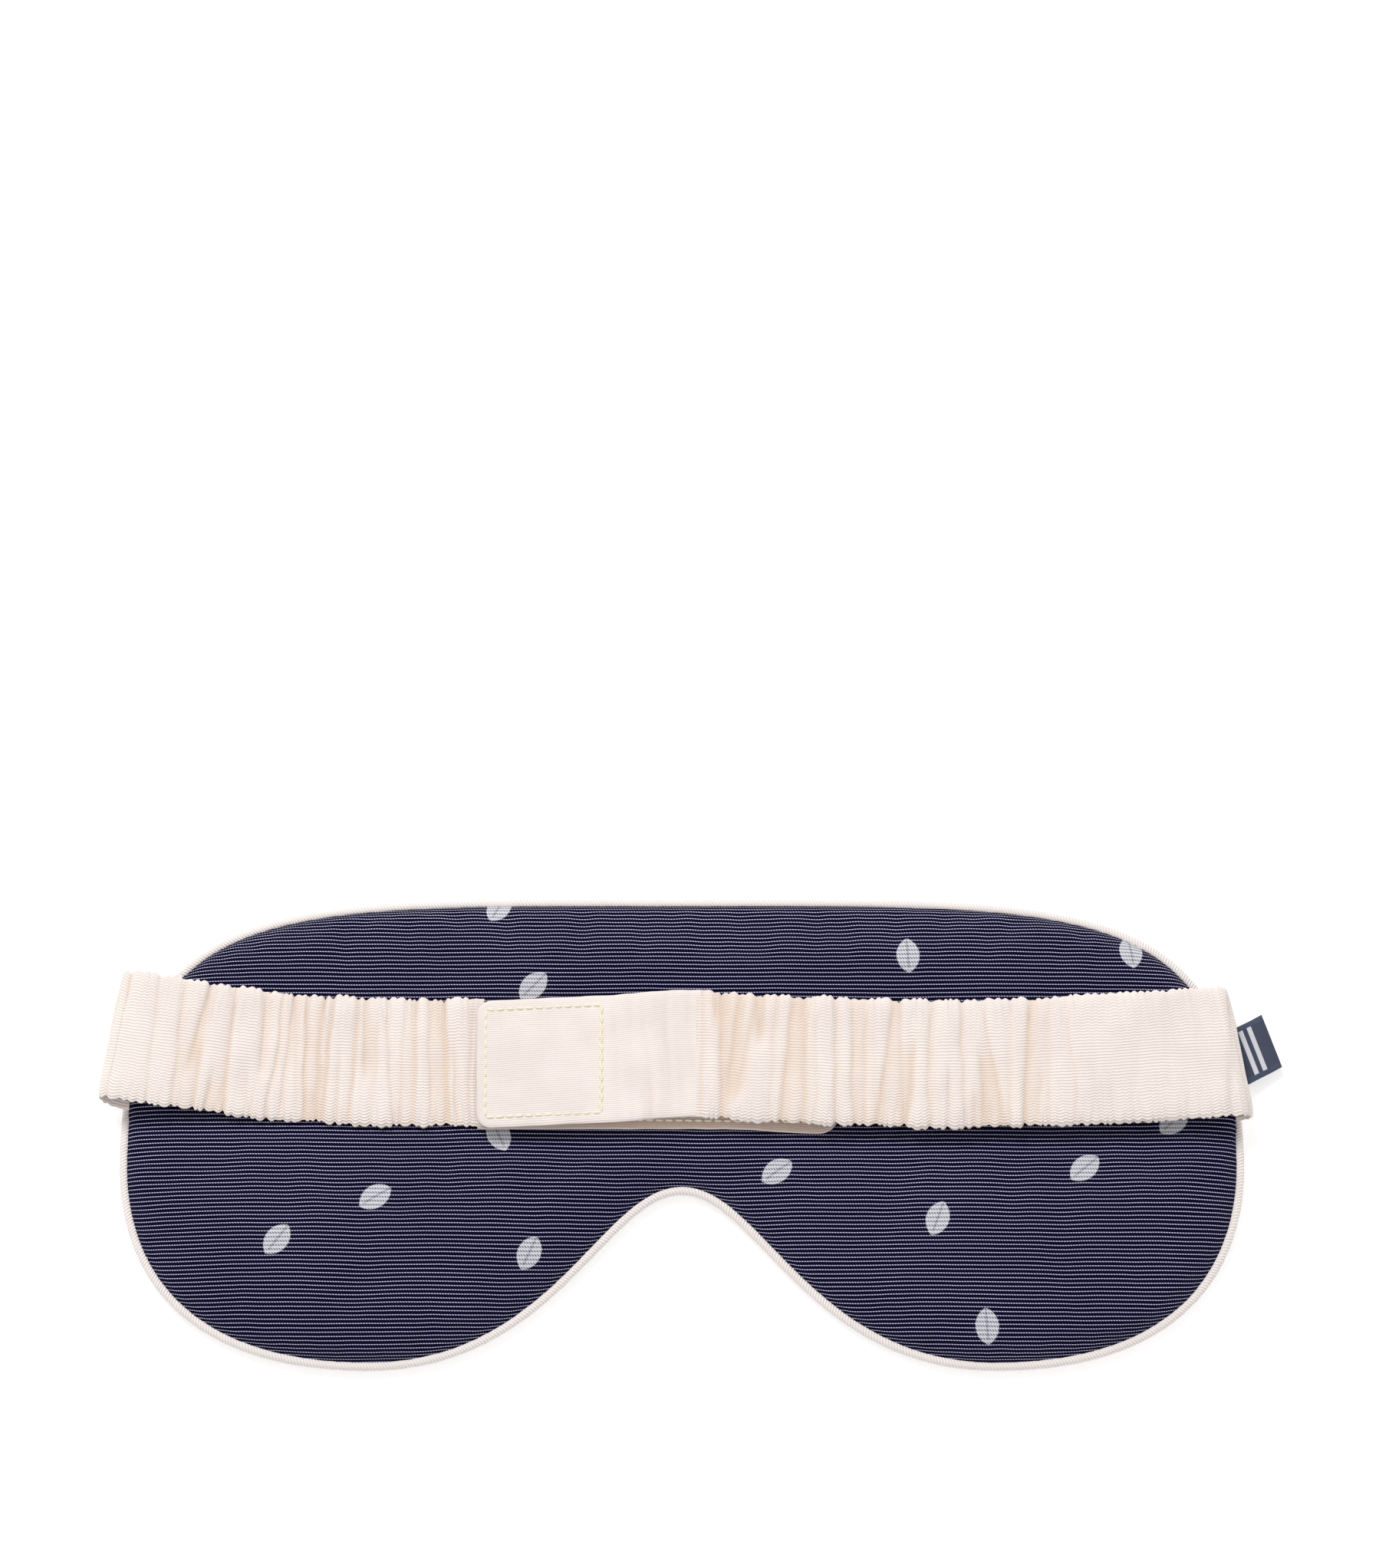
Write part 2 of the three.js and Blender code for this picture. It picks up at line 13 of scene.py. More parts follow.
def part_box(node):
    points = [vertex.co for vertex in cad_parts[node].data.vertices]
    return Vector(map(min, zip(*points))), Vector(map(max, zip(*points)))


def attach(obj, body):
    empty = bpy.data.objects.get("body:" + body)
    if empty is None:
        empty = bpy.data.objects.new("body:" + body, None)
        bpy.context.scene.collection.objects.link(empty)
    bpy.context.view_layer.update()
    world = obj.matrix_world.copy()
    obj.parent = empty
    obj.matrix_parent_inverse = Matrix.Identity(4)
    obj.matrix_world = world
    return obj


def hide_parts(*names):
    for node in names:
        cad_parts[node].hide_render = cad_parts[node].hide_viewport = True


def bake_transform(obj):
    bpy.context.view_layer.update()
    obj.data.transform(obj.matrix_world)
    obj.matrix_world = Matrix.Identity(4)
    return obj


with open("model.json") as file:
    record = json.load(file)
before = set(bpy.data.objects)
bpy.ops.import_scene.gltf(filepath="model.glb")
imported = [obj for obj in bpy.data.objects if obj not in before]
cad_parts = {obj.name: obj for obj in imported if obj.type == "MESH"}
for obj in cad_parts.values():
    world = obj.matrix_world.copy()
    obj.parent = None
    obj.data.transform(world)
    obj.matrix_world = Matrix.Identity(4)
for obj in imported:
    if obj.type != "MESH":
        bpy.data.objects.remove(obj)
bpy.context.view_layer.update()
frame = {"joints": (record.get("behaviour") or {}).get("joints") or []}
scene = bpy.context.scene

MM = 0.001
UP = Vector((0, 0, 1))
JOINTS = {joint["name"]: joint for joint in frame["joints"]}


def box_mm(node):
    """Lowest and highest corner of a node of the frame, in millimetres."""
    low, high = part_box(node)
    return low / MM, high / MM


def joint_place(name):
    """A hinge's place in millimetres and its direction."""
    joint = JOINTS[name]
    return Vector(joint["pos_m"]) / MM, Vector(joint["axis"])


def clamp(x, low=0.0, high=1.0):
    return max(low, min(high, x))


def smooth(x, start, end):
    t = clamp((x - start) / (end - start))
    return t * t * (3 - 2 * t)


def lerp(a, b, t):
    return a + (b - a) * t


def bumps(x, y, z):
    """Smooth noise from -1 to 1, with a bump about every unit."""
    return noise.noise(Vector((x, y, z)))


def rough(x, y, seed, size):
    """Bumps about size across, a set of its own for each seed."""
    return bumps(x / size, y / size, seed * 7.31)


# ---- Outline of the mask, in millimetres ----
HALF_WIDTH = 109.7
BROW_Y = 29.65
NOTCH_Y = -29.65
WIDEST_Y = -23.35
LOBE = (60.8, -64.35)
HALF_OUTLINE = [
    [(0, BROW_Y), (78.0, BROW_Y), (HALF_WIDTH, 32.15), (HALF_WIDTH, WIDEST_Y)],
    [(HALF_WIDTH, WIDEST_Y), (HALF_WIDTH, -43.3), (98.4, LOBE[1]), LOBE],
    [LOBE, (24.3, LOBE[1]), (14.5, NOTCH_Y), (0, NOTCH_Y)],
]
FINE_STEPS = 400
FINE_COUNT = 2400


def walk_outline(count):
    """Even places round the outline with their outward directions, and the outline's length."""
    right = []
    for curve in HALF_OUTLINE:
        knots = [Vector((x, y, 0)) for x, y in curve]
        right += geometry.interpolate_bezier(*knots, FINE_STEPS)[:-1]
    left = [Vector((-p.x, p.y, 0)) for p in right[:0:-1]]
    loop = right + [Vector((0, NOTCH_Y, 0))] + left
    loop.append(loop[0])
    reach = [0.0]
    for a, b in zip(loop, loop[1:]):
        reach.append(reach[-1] + (b - a).length)
    places, k = [], 0
    for i in range(count):
        target = reach[-1] * i / count
        while reach[k + 1] < target:
            k += 1
        share = (target - reach[k]) / (reach[k + 1] - reach[k])
        along = (loop[k + 1] - loop[k]).normalized()
        places.append((loop[k].lerp(loop[k + 1], share), Vector((-along.y, along.x, 0))))
    return places, reach[-1]


FINE_OUTLINE, GIRTH = walk_outline(FINE_COUNT)
NEAREST = kdtree.KDTree(len(FINE_OUTLINE))
for number, (place, _) in enumerate(FINE_OUTLINE):
    NEAREST.insert(place, number)
NEAREST.balance()


def from_edge(x, y):
    """How far a point lies inside the outline, the outward direction, and the nearest place's number."""
    place, number, distance = NEAREST.find(Vector((x, y, 0)))
    outward = FINE_OUTLINE[number][1]
    inside = (Vector((x, y, 0)) - place).dot(outward) <= 0
    return (distance if inside else -distance), outward, number


# ---- Mesh helpers ----
def finish_piece(name, bm, material, closed=True, shade=True):
    """Scales a mesh from millimetres, turns its faces outwards and makes it an object at the origin."""
    if closed:
        bmesh.ops.recalc_face_normals(bm, faces=bm.faces)
    bmesh.ops.scale(bm, vec=(MM, MM, MM), verts=bm.verts)
    mesh = bpy.data.meshes.new(name)
    bm.to_mesh(mesh)
    bm.free()
    mesh.materials.append(material)
    if shade:
        mesh.shade_smooth()
    piece = bpy.data.objects.new(name, mesh)
    scene.collection.objects.link(piece)
    return piece


def rolled(columns, rows, place, lay, ring=False):
    """A grid rolled into a closed tube or a ring, from place(u, v) and the flat cloth's lay(u, v)."""
    bm = bmesh.new()
    cloth = bm.loops.layers.uv.new("cloth")
    painted_shade = bm.verts.layers.float.new("painted_shade")
    bmesh.ops.create_grid(bm, x_segments=columns, y_segments=rows, size=1, calc_uvs=True)
    for face in bm.faces:
        for loop in face.loops:
            loop[cloth].uv = Vector(lay(*loop[cloth].uv)) * MM
    for vert in bm.verts:
        # The fourth value from place is the amount of painted shade at the point, which the cream jersey
        # reads.
        x, y, z, depth = place((vert.co.x + 1) / 2, (vert.co.y + 1) / 2)
        vert.co = (x, y, z)
        vert[painted_shade] = depth
    bmesh.ops.remove_doubles(bm, verts=bm.verts, dist=1e-4)
    if not ring:
        rim = [edge for edge in bm.edges if edge.is_boundary]
        bmesh.ops.holes_fill(bm, edges=rim, sides=rows + 2)
    return bm


def soften(bm, edges, offset, segments):
    bmesh.ops.bevel(
        bm, geom=edges, offset=offset, segments=segments, profile=0.5, affect="EDGES", material=-1
    )


def thicken(piece, thickness):
    """Gives a sheet its thickness, inwards from the face that shows."""
    shell = piece.modifiers.new("wall", "SOLIDIFY")
    shell.thickness = thickness * MM
    shell.offset = -1


def refine(piece):
    finer = piece.modifiers.new("refine", "SUBSURF")
    finer.levels = finer.render_levels = 1


def lay_flat(bm):
    """Gives each point its place on the flat cloth straight from its plan."""
    cloth = bm.loops.layers.uv.new("cloth")
    for face in bm.faces:
        for loop in face.loops:
            loop[cloth].uv = loop.vert.co.xy * MM


def stand_in(piece, slot, body, *nodes):
    """Lets a piece stand for its nodes, which it hides, and move with their body. The slot is not used."""
    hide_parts(*nodes)
    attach(piece, body)


# ---- Finishes ----
class Wire:
    """A shader socket that takes part in Python arithmetic."""

    def __init__(self, finish, socket):
        self.finish, self.socket = finish, socket

    def math(self, operation, *values):
        sockets = dict(enumerate(values))
        return self.finish.node("ShaderNodeMath", {"operation": operation}, sockets)

    def __add__(self, other):
        return self.math("ADD", self, other)

    def __sub__(self, other):
        return self.math("SUBTRACT", self, other)

    def __rsub__(self, other):
        return self.math("SUBTRACT", other, self)

    def __mul__(self, other):
        return self.math("MULTIPLY", self, other)

    def __truediv__(self, other):
        return self.math("DIVIDE", self, other)

    def __abs__(self):
        return self.math("ABSOLUTE", self)

    __radd__, __rmul__ = __add__, __mul__

    def root(self):
        return self.math("SQRT", self)

    def wave(self):
        """0 to 1 and back over each whole number."""
        return self.math("COSINE", self * math.tau) * -0.5 + 0.5

    def step(self, start, end):
        """0 below start and 1 above end, with a soft edge."""
        sockets = {"Value": self, "From Min": start, "From Max": end}
        return self.finish.node("ShaderNodeMapRange", {"interpolation_type": "SMOOTHSTEP"}, sockets)


def linear(red, green, blue):
    """A display colour, 0 to 255, as the linear colour that a shader takes."""
    parts = [c / 255 for c in (red, green, blue)]
    return tuple(c / 12.92 if c <= 0.04045 else ((c + 0.055) / 1.055) ** 2.4 for c in parts) + (1,)


class Finish:
    """One procedural material: its nodes and the parts that most cloths share."""

    def __init__(self, name, roughness=0.9, sheen=0.0, specular=0.25):
        self.material = bpy.data.materials.new(name)
        self.material.use_nodes = True
        self.tree = self.material.node_tree
        self.shader = self.tree.nodes["Principled BSDF"]
        self.set("Roughness", roughness)
        self.set("Sheen Weight", sheen)
        self.set("Sheen Roughness", 0.5)
        self.set("Specular IOR Level", specular)

    def node(self, kind, settings=None, sockets=None, output=0):
        """Any node: its settings first, then the values or links of its sockets. Returns one output."""
        made = self.tree.nodes.new(kind)
        for key, value in (settings or {}).items():
            setattr(made, key, value)
        for key, value in (sockets or {}).items():
            if isinstance(value, Wire):
                self.tree.links.new(value.socket, made.inputs[key])
            else:
                made.inputs[key].default_value = value
        return Wire(self, made.outputs[output])

    def set(self, key, value):
        if isinstance(value, Wire):
            self.tree.links.new(value.socket, self.shader.inputs[key])
        else:
            self.shader.inputs[key].default_value = value

    def mix(self, share, first, second):
        """Colour first where share is 0 and second where it is 1."""
        sockets = {0: share, 6: first, 7: second}
        return self.node("ShaderNodeMix", {"data_type": "RGBA"}, sockets, 2)

    def parts(self, vector):
        return [self.node("ShaderNodeSeparateXYZ", None, {0: vector}, axis) for axis in range(3)]

    def object_place(self):
        return self.node("ShaderNodeTexCoord", None, None, "Object")

    def cloth_place(self, layer="cloth"):
        """Along and across the flat cloth, in millimetres."""
        along, across, _ = self.parts(self.node("ShaderNodeUVMap", {"uv_map": layer}))
        return along * 1000, across * 1000

    def cloud(self, scale, detail=2.0):
        """Smooth noise from 0 to 1 at so many bumps a metre."""
        sockets = {"Vector": self.object_place(), "Scale": scale, "Detail": detail}
        return self.node("ShaderNodeTexNoise", None, sockets)

    def attribute(self, name):
        return self.node("ShaderNodeAttribute", {"attribute_name": name}, None, "Fac")

    def bump(self, height, distance, strength=1.0):
        """height times distance in millimetres stands out of the surface."""
        sockets = {"Strength": strength, "Distance": distance * MM, "Height": height}
        self.set("Normal", self.node("ShaderNodeBump", None, sockets))


NAVY_DARK = linear(3, 1, 33)
PRINT = linear(214, 214, 220)
ROW_PITCH = 0.81
DASH_PITCH = 0.53


def ribbed_navy(name, printed):
    """Navy jersey in fine rows, each a dark rib beside a broken pale thread."""
    finish = Finish(name, roughness=0.85, sheen=0.03, specular=0.08)
    along, across = finish.cloth_place()
    drift = finish.cloud(38, 1) * 0.9 + finish.cloud(160, 1) * 0.16
    row = (across + drift) / ROW_PITCH
    rib = row.wave()
    slant = along / DASH_PITCH + row * 1.35 + finish.cloud(300, 1) * 0.4
    dash = slant.wave()
    thread = (1 - rib).step(0.82, 0.99) * (dash.step(0.15, 0.6) * 0.86 + 0.14)
    patch = finish.cloud(55, 3)
    pale = finish.mix(patch, linear(190, 188, 224), linear(222, 220, 248))
    colour = finish.mix(thread, NAVY_DARK, pale)
    if printed:
        x, y = finish.cloth_place("print")
        side = abs(x) + SEED_OFFSET
        reach = (side * side + y * y).root()
        near = finish.attribute("print_near").step(0.8, 0.95)
        seed = (1 - reach.step(SEED_RADIUS - 0.16, SEED_RADIUS + 0.06)) * near
        vein = (1 - abs(x).step(0.12, 0.3)) * y.step(-2.9, -2.3)
        seed = seed * (1 - vein * 0.4)
        speck = rib.step(0.25, 0.75) * (1 - dash).step(0.15, 0.6)
        ink = finish.mix(speck * 0.85, PRINT, linear(60, 60, 88))
        colour = finish.mix(seed * 0.97, colour, ink)
    finish.set("Base Color", colour)
    finish.bump(rib * 0.7 + dash * (1 - rib) * 0.5, 0.16, 0.8)
    return finish.material


def cream_jersey(name, pale, shade, course=0.58, strength=1.0, depth=0.5):
    """Soft cream jersey: fine courses along the strap, and painted shade, warmer and darker, down in its
    folds.
    """
    finish = Finish(name, roughness=0.92, sheen=0.15, specular=0.12)
    along, across = finish.cloth_place()
    drift = finish.cloud(90, 1) * 0.9
    line = ((across + drift) / course).wave()
    stitch = (along / 0.42 + line * 0.3 + finish.cloud(400, 1)).wave()
    knit = line * (stitch * 0.35 + 0.65)
    blotch = finish.cloud(120, 3)
    base = finish.mix(blotch.step(0.35, 0.7), pale, linear(246, 236, 232))
    lit = finish.mix((1 - knit).step(0.25, 1.0) * depth, base, linear(224, 204, 194))
    # Painted shade: the colour turns towards the shade colour in the folds and creases that the points mark.
    deep = finish.attribute("painted_shade").step(0.12, 1.0)
    finish.set("Base Color", finish.mix(deep * 0.85, lit, shade))
    finish.set("Roughness", blotch * 0.1 + 0.86)
    finish.bump(knit + finish.cloud(2500, 2) * 0.35, 0.15, strength)
    return finish.material


def ribbed_piping(name):
    """Cream piping fabric with fine ribs across it."""
    finish = Finish(name, roughness=0.88, sheen=0.1, specular=0.15)
    along, across = finish.cloth_place()
    rib = ((along + across * 0.35 + finish.cloud(120, 1) * 0.5) / 0.62).wave()
    base = finish.mix(finish.cloud(140, 3), linear(253, 246, 243), linear(247, 239, 236))
    colour = finish.mix((1 - rib).step(0.4, 1.0) * 0.6, base, linear(222, 209, 203))
    finish.set("Base Color", colour)
    finish.bump(rib, 0.16, 0.9)
    return finish.material


def twisted(name, light, dark, pitch, lean, distance):
    """Thread, cord or yarn that is laid up of strands, seen as slanting lines."""
    finish = Finish(name, roughness=0.75, sheen=0.1, specular=0.3)
    x, y, z = finish.parts(finish.object_place())
    strand = ((x * lean + y + z * 0.6) * (1000 / pitch)).wave()
    base = finish.mix(finish.cloud(500, 2), light, dark)
    finish.set("Base Color", finish.mix((1 - strand).step(0.5, 1.0) * 0.5, base, dark))
    finish.bump(strand, distance, 0.8)
    return finish.material


def foam(name):
    """Cream foam with small open cells."""
    finish = Finish(name, roughness=0.95, specular=0.1)
    sockets = {"Vector": finish.object_place(), "Scale": 900.0}
    cell = finish.node("ShaderNodeTexVoronoi", None, sockets)
    colour = finish.mix(cell.step(0.05, 0.6), linear(214, 205, 186), linear(244, 239, 228))
    finish.set("Base Color", colour)
    finish.bump(cell, 0.3, 0.9)
    return finish.material


def plain_weave(name, light, dark, warp, weft, distance, roughness=0.8, sheen=0.0):
    """Over-and-under weave on the flat cloth, warp by weft in millimetres."""
    finish = Finish(name, roughness=roughness, sheen=sheen, specular=0.25)
    along, across = finish.cloth_place()
    over = abs((along / warp).wave() - (across / weft).wave())
    worn = finish.cloud(220, 3)
    base = finish.mix(worn, light, dark)
    finish.set("Base Color", finish.mix((1 - over).step(0.3, 1.0) * 0.5, base, dark))
    finish.set("Roughness", worn * 0.15 + (roughness - 0.08))
    finish.bump(over, distance, 0.7)
    return finish.material


STRIPES_AT = 3.1


def satin_label(name):
    """Slate woven band: fine diagonal twill, two pale stripes and a narrow border along its folded edges."""
    finish = Finish(name, roughness=0.62, sheen=0.06, specular=0.35)
    along, across = finish.cloth_place()
    twill = ((along * 0.8 + across) / 0.34).wave()
    pick = (across / 0.27).wave()
    half = LABEL_WIDTH / 2
    border = abs(across - half).step(half - 1.15, half - 0.95)
    tone = finish.cloud(260, 2)
    base = finish.mix(tone, linear(52, 60, 80), linear(63, 71, 92))
    woven = finish.mix((1 - twill).step(0.4, 1.0) * 0.45, base, linear(36, 42, 60))
    edge = finish.mix(pick * 0.4, linear(66, 75, 96), linear(44, 51, 70))
    between = abs(along - STRIPES_AT)
    stripes = between.step(0.4, 0.55) * (1 - between.step(1.35, 1.5))
    pale = finish.mix((1 - twill).step(0.3, 1.0) * 0.3, linear(212, 211, 218), linear(168, 170, 182))
    woven = finish.mix(stripes, woven, pale)
    finish.set("Base Color", finish.mix(border, woven, edge))
    finish.set("Roughness", twill * 0.12 + 0.55)
    finish.bump(twill * (1 - border) + pick * border, 0.06, 0.7)
    return finish.material


def plain_floor(name):
    """Smooth matt white card."""
    finish = Finish(name, roughness=0.9, specular=0.1)
    grain = finish.cloud(60, 2)
    finish.set("Base Color", finish.mix(grain, (0.93, 0.93, 0.93, 1), (0.95, 0.95, 0.95, 1)))
    finish.bump(finish.cloud(1500, 2), 0.02, 0.3)
    finish.set("Emission Color", (1, 1, 1, 1))
    finish.set("Emission Strength", 0.38)
    return finish.material


# ---- Printed seeds ----
SEED_RADIUS = 3.97
SEED_OFFSET = 1.67
PRINT_REACH = 7.3
# Each is x, y of its middle and how far it is turned, in degrees.
SEEDS = [
    (-35.9, 27.9, -30), (-29.1, 11.3, -45), (44.3, 17.5, 4), (88.1, 18.6, 8), (-35.7, -18.4, 25),
    (-59.6, -30.9, -60), (-78.5, -39.3, -38), (-29.7, -41.8, -25), (18.5, -25.7, -55),
    (49.7, -35.2, -20), (78.3, -25.1, -50), (59.1, -56.1, 5), (95.9, -15.7, -50),
]

COVER_NAVY = ribbed_navy("face_navy_jersey", printed=True)
OUTER_NAVY = ribbed_navy("outer_navy_jersey", printed=False)
STRAP_CREAM = cream_jersey("gathered_cream_jersey", linear(252, 243, 237), linear(234, 212, 194))
# The flat tab and lap take the strap's cream painted a little darker, as painted shade, because they lie
# facing the light; TAB_SHADE is the painted shade in their creases.
TAB_CREAM_IN_PAINTED_SHADE, TAB_SHADE = linear(238, 229, 224), linear(206, 182, 168)
TAB_CREAM = cream_jersey("pressed_cream_jersey_with_painted_shade", TAB_CREAM_IN_PAINTED_SHADE, TAB_SHADE, 0.43, 0.6, 0.32)
PIPING_CREAM = ribbed_piping("ribbed_piping_fabric")
THREAD = twisted("cream_sewing_thread", linear(250, 243, 224), linear(240, 229, 202), 0.3, 1.2, 0.03)
CORD = twisted("cotton_filler_cord", linear(246, 244, 238), linear(214, 208, 196), 0.7, 1.0, 0.1)
FOAM = foam("padding_foam")
LINING = plain_weave("black_lining_cloth", linear(30, 30, 34), linear(14, 14, 17), 0.4, 0.4, 0.05)
ELASTIC = plain_weave("white_elastic_band", linear(247, 245, 241), linear(218, 213, 206), 1.1, 0.5, 0.12)
TAPE = plain_weave("closure_tape_ground", linear(240, 230, 220), linear(206, 188, 172), 0.6, 0.5, 0.08)
PILE = twisted("closure_tape_pile", linear(247, 240, 232), linear(222, 208, 194), 0.4, 0.8, 0.04)


# ---- Cushioned covers ----
STRAP_PLACE, STRAP_AXIS = joint_place("right_strap_swing")
ROOT_LOW = box_mm("right_strap_root")[0]
TAB_LOW, TAB_HIGH = box_mm("closure_tab")
LAP_LOW, LAP_HIGH = box_mm("left_lap")
# Each end is sewn this far along its fold from where the frame has it.
END_SHIFT = {"right": -3.5, "left": -0.5}
PIPING_Z = 2.3
PIPING_RADIUS = 0.9
STRAP_HALF = (TAB_HIGH.y - TAB_LOW.y) / 2
STRAP_MIDDLE_Y = (TAB_HIGH.y + TAB_LOW.y) / 2
PLATEAU = LAP_LOW.z - 0.25
CROWN_REACH = 14.0
CROWN_FULLNESS = 2.1
RIM_INSET = 1.5
FACE_RIM_Z = 2.5
COVER_THICKNESS = 0.5
RING_STEPS = [RIM_INSET, 1.8, 2.25, 2.9, 3.8, 5.0, 6.6, 8.8, 11.4, 14.0]
OUTLINE_COUNT = 300
CELL = 2.4
FILLING_FRAMES = 20
FILLING_PRESSURE = 2.0
FILLING_STIFFNESS = 12
FILLING_CAP = 0.9
CLOTH_EASE = -0.012
# Where the strap leaves its straight run across the mask, and how far it has risen at its ends.
RISE_FROM, RISE_RUN, RISE = 50, 57, 5.27


def crown_rise(inset):
    """0 at the rim of a cover and 1 where its crown is level."""
    share = clamp((inset - RIM_INSET) / (CROWN_REACH - RIM_INSET))
    return (1 - (1 - share) ** CROWN_FULLNESS) ** (1 / CROWN_FULLNESS)


def strap_lift(x, y):
    """1 where the end of the strap comes out of the seam, fading to 0 beside it."""
    if abs(x) < 80:
        return 0.0
    sewn = STRAP_PLACE + STRAP_AXIS * END_SHIFT["right" if x > 0 else "left"]
    away = Vector((abs(x) - sewn.x, y - sewn.y, 0))
    return 1 - smooth(abs(away.dot(STRAP_AXIS)), STRAP_HALF - 0.6, STRAP_HALF + 2.6)


def under_strap(x, y):
    """1 below the strap, where it presses the face side flat."""
    share = clamp((abs(x) - RISE_FROM) / RISE_RUN)
    middle = STRAP_MIDDLE_Y + RISE * share * share
    return 1 - smooth(abs(y - middle), STRAP_HALF - 1.5, STRAP_HALF + 9)


def puckers(number, inset, seed):
    """Small pulls across the seam, which fade into the cover."""
    along = number / len(FINE_OUTLINE) * GIRTH
    broad = bumps(along / 5.0, inset / 16, seed)
    fine = bumps(along / 2.4, 0, seed)
    return (broad + 0.5 * fine) * math.exp(-inset / 6.5) * smooth(inset, 1.2, 3.5)


def face_height(x, y):
    """The face side rises from the seam to its crown, and lies level below the strap."""
    inset, _, number = from_edge(x, y)
    rim_z = lerp(FACE_RIM_Z, ROOT_LOW.z + 0.55, strap_lift(x, y))
    z = lerp(rim_z, PLATEAU + 0.08, crown_rise(inset))
    loft = 0.62 * smooth(inset, 10, 26) * (1 - under_strap(x, y))
    waves = 0.30 * rough(x, y, 1, 24) + 0.12 * rough(x, y, 2, 9)
    free = smooth(inset, 3, 10) * (1 - under_strap(x, y))
    return z + loft + waves * free + 0.42 * puckers(number, inset, 3.3)


def outer_height(x, y):
    """The outer side falls from the seam to the floor."""
    inset, _, number = from_edge(x, y)
    z = lerp(PIPING_Z - 0.45, 0.0, crown_rise(inset))
    return max(0.0, z + 0.30 * puckers(number, inset, 8.8))


def spread_of(height, inset):
    """How much longer the cloth is than its plan, from the level middle out to an inset."""
    steps, total = 24, 0.0
    for k in range(steps):
        a, b = (lerp(inset, CROWN_REACH, t / steps) for t in (k, k + 1))
        total += math.hypot(b - a, height(b) - height(a)) - (b - a)
    return total


def cover_mesh(height, profile):
    """A crowned sheet over the outline: rings down to the seam, and square cells across the middle."""
    bm = bmesh.new()
    bmesh.ops.create_circle(bm, cap_ends=True, segments=OUTLINE_COUNT, radius=1)
    places, _ = walk_outline(OUTLINE_COUNT)
    for vert, (place, outward) in zip(bm.verts, places):
        vert.co = place - outward * RING_STEPS[0]
    middle = list(bm.faces)
    for before, after in zip(RING_STEPS, RING_STEPS[1:]):
        ring = {"thickness": after - before, "use_even_offset": True, "use_boundary": True}
        bmesh.ops.inset_region(bm, faces=middle, **ring)
    for axis, reach in ((0, HALF_WIDTH), (1, -LOBE[1])):
        count = math.ceil(reach / CELL)
        for k in range(-count, count + 1):
            cut, across = Vector((0, 0, 0)), Vector((0, 0, 0))
            cut[axis], across[axis] = k * CELL, 1
            geom = [g for face in middle for g in (*face.verts, *face.edges)] + middle
            out = bmesh.ops.bisect_plane(bm, geom=list(dict.fromkeys(geom)), plane_co=cut, plane_no=across)
            middle = [g for g in out["geom"] if isinstance(g, bmesh.types.BMFace)]
    cloth = bm.loops.layers.uv.new("cloth")
    table = [spread_of(profile, 0.25 * k) for k in range(int(CROWN_REACH * 4) + 1)]
    flat = {}
    for vert in bm.verts:
        inset, outward, _ = from_edge(vert.co.x, vert.co.y)
        extra = table[int(clamp(inset * 4, 0, CROWN_REACH * 4))]
        flat[vert] = vert.co.xy + outward.xy * extra
        vert.co.z = height(vert.co.x, vert.co.y)
    for face in bm.faces:
        for loop in face.loops:
            loop[cloth].uv = flat[loop.vert] * MM
    return bm


def fill_with_air(piece, held, most):
    """Fills a cover as cloth: held(x, y) is how firmly a point stays, and most how far one may move."""
    group = piece.vertex_groups.new(name="held")
    for vert in piece.data.vertices:
        group.add([vert.index], held(vert.co.x / MM, vert.co.y / MM), "REPLACE")
    cloth = piece.modifiers.new("filling", "CLOTH")
    cloth.settings.quality = 5
    cloth.settings.mass = 0.1
    cloth.settings.tension_stiffness = cloth.settings.compression_stiffness = FILLING_STIFFNESS
    cloth.settings.bending_stiffness = 0.2
    cloth.settings.shrink_min = CLOTH_EASE
    cloth.settings.use_pressure = True
    cloth.settings.uniform_pressure_force = FILLING_PRESSURE
    cloth.settings.vertex_group_mass = group.name
    cloth.settings.effector_weights.gravity = 0
    cloth.point_cache.frame_start, cloth.point_cache.frame_end = 1, FILLING_FRAMES
    for number in range(1, FILLING_FRAMES + 1):
        scene.frame_set(number)
    filled = piece.evaluated_get(bpy.context.evaluated_depsgraph_get()).data
    moves = [end.co - start.co for start, end in zip(piece.data.vertices, filled.vertices)]
    piece.modifiers.remove(cloth)
    piece.vertex_groups.remove(group)
    for vert, move in zip(piece.data.vertices, moves):
        vert.co += move * min(1, most * MM / max(move.length, 1e-9))
    scene.frame_set(1)


def lay_print(bm):
    """Gives each point of the cover its place beside the nearest printed seed, turned with the seed."""
    print_map = bm.loops.layers.uv.new("print")
    near = bm.verts.layers.float.new("print_near")
    local = {}
    for vert in bm.verts:
        x, y, turn = min(SEEDS, key=lambda s: math.hypot(vert.co.x - s[0], vert.co.y - s[1]))
        away = Vector((vert.co.x - x, vert.co.y - y))
        away.rotate(Matrix.Rotation(math.radians(-turn), 2))
        local[vert] = away
        vert[near] = 1.0 if away.length < PRINT_REACH else 0.0
    for face in bm.faces:
        for loop in face.loops:
            loop[print_map].uv = local[loop.vert] * MM


face_mesh = cover_mesh(face_height, lambda inset: lerp(FACE_RIM_Z, PLATEAU, crown_rise(inset)))
bmesh.ops.reverse_faces(face_mesh, faces=face_mesh.faces)
lay_print(face_mesh)
face_side = finish_piece("face_side_cover", face_mesh, COVER_NAVY, closed=False)


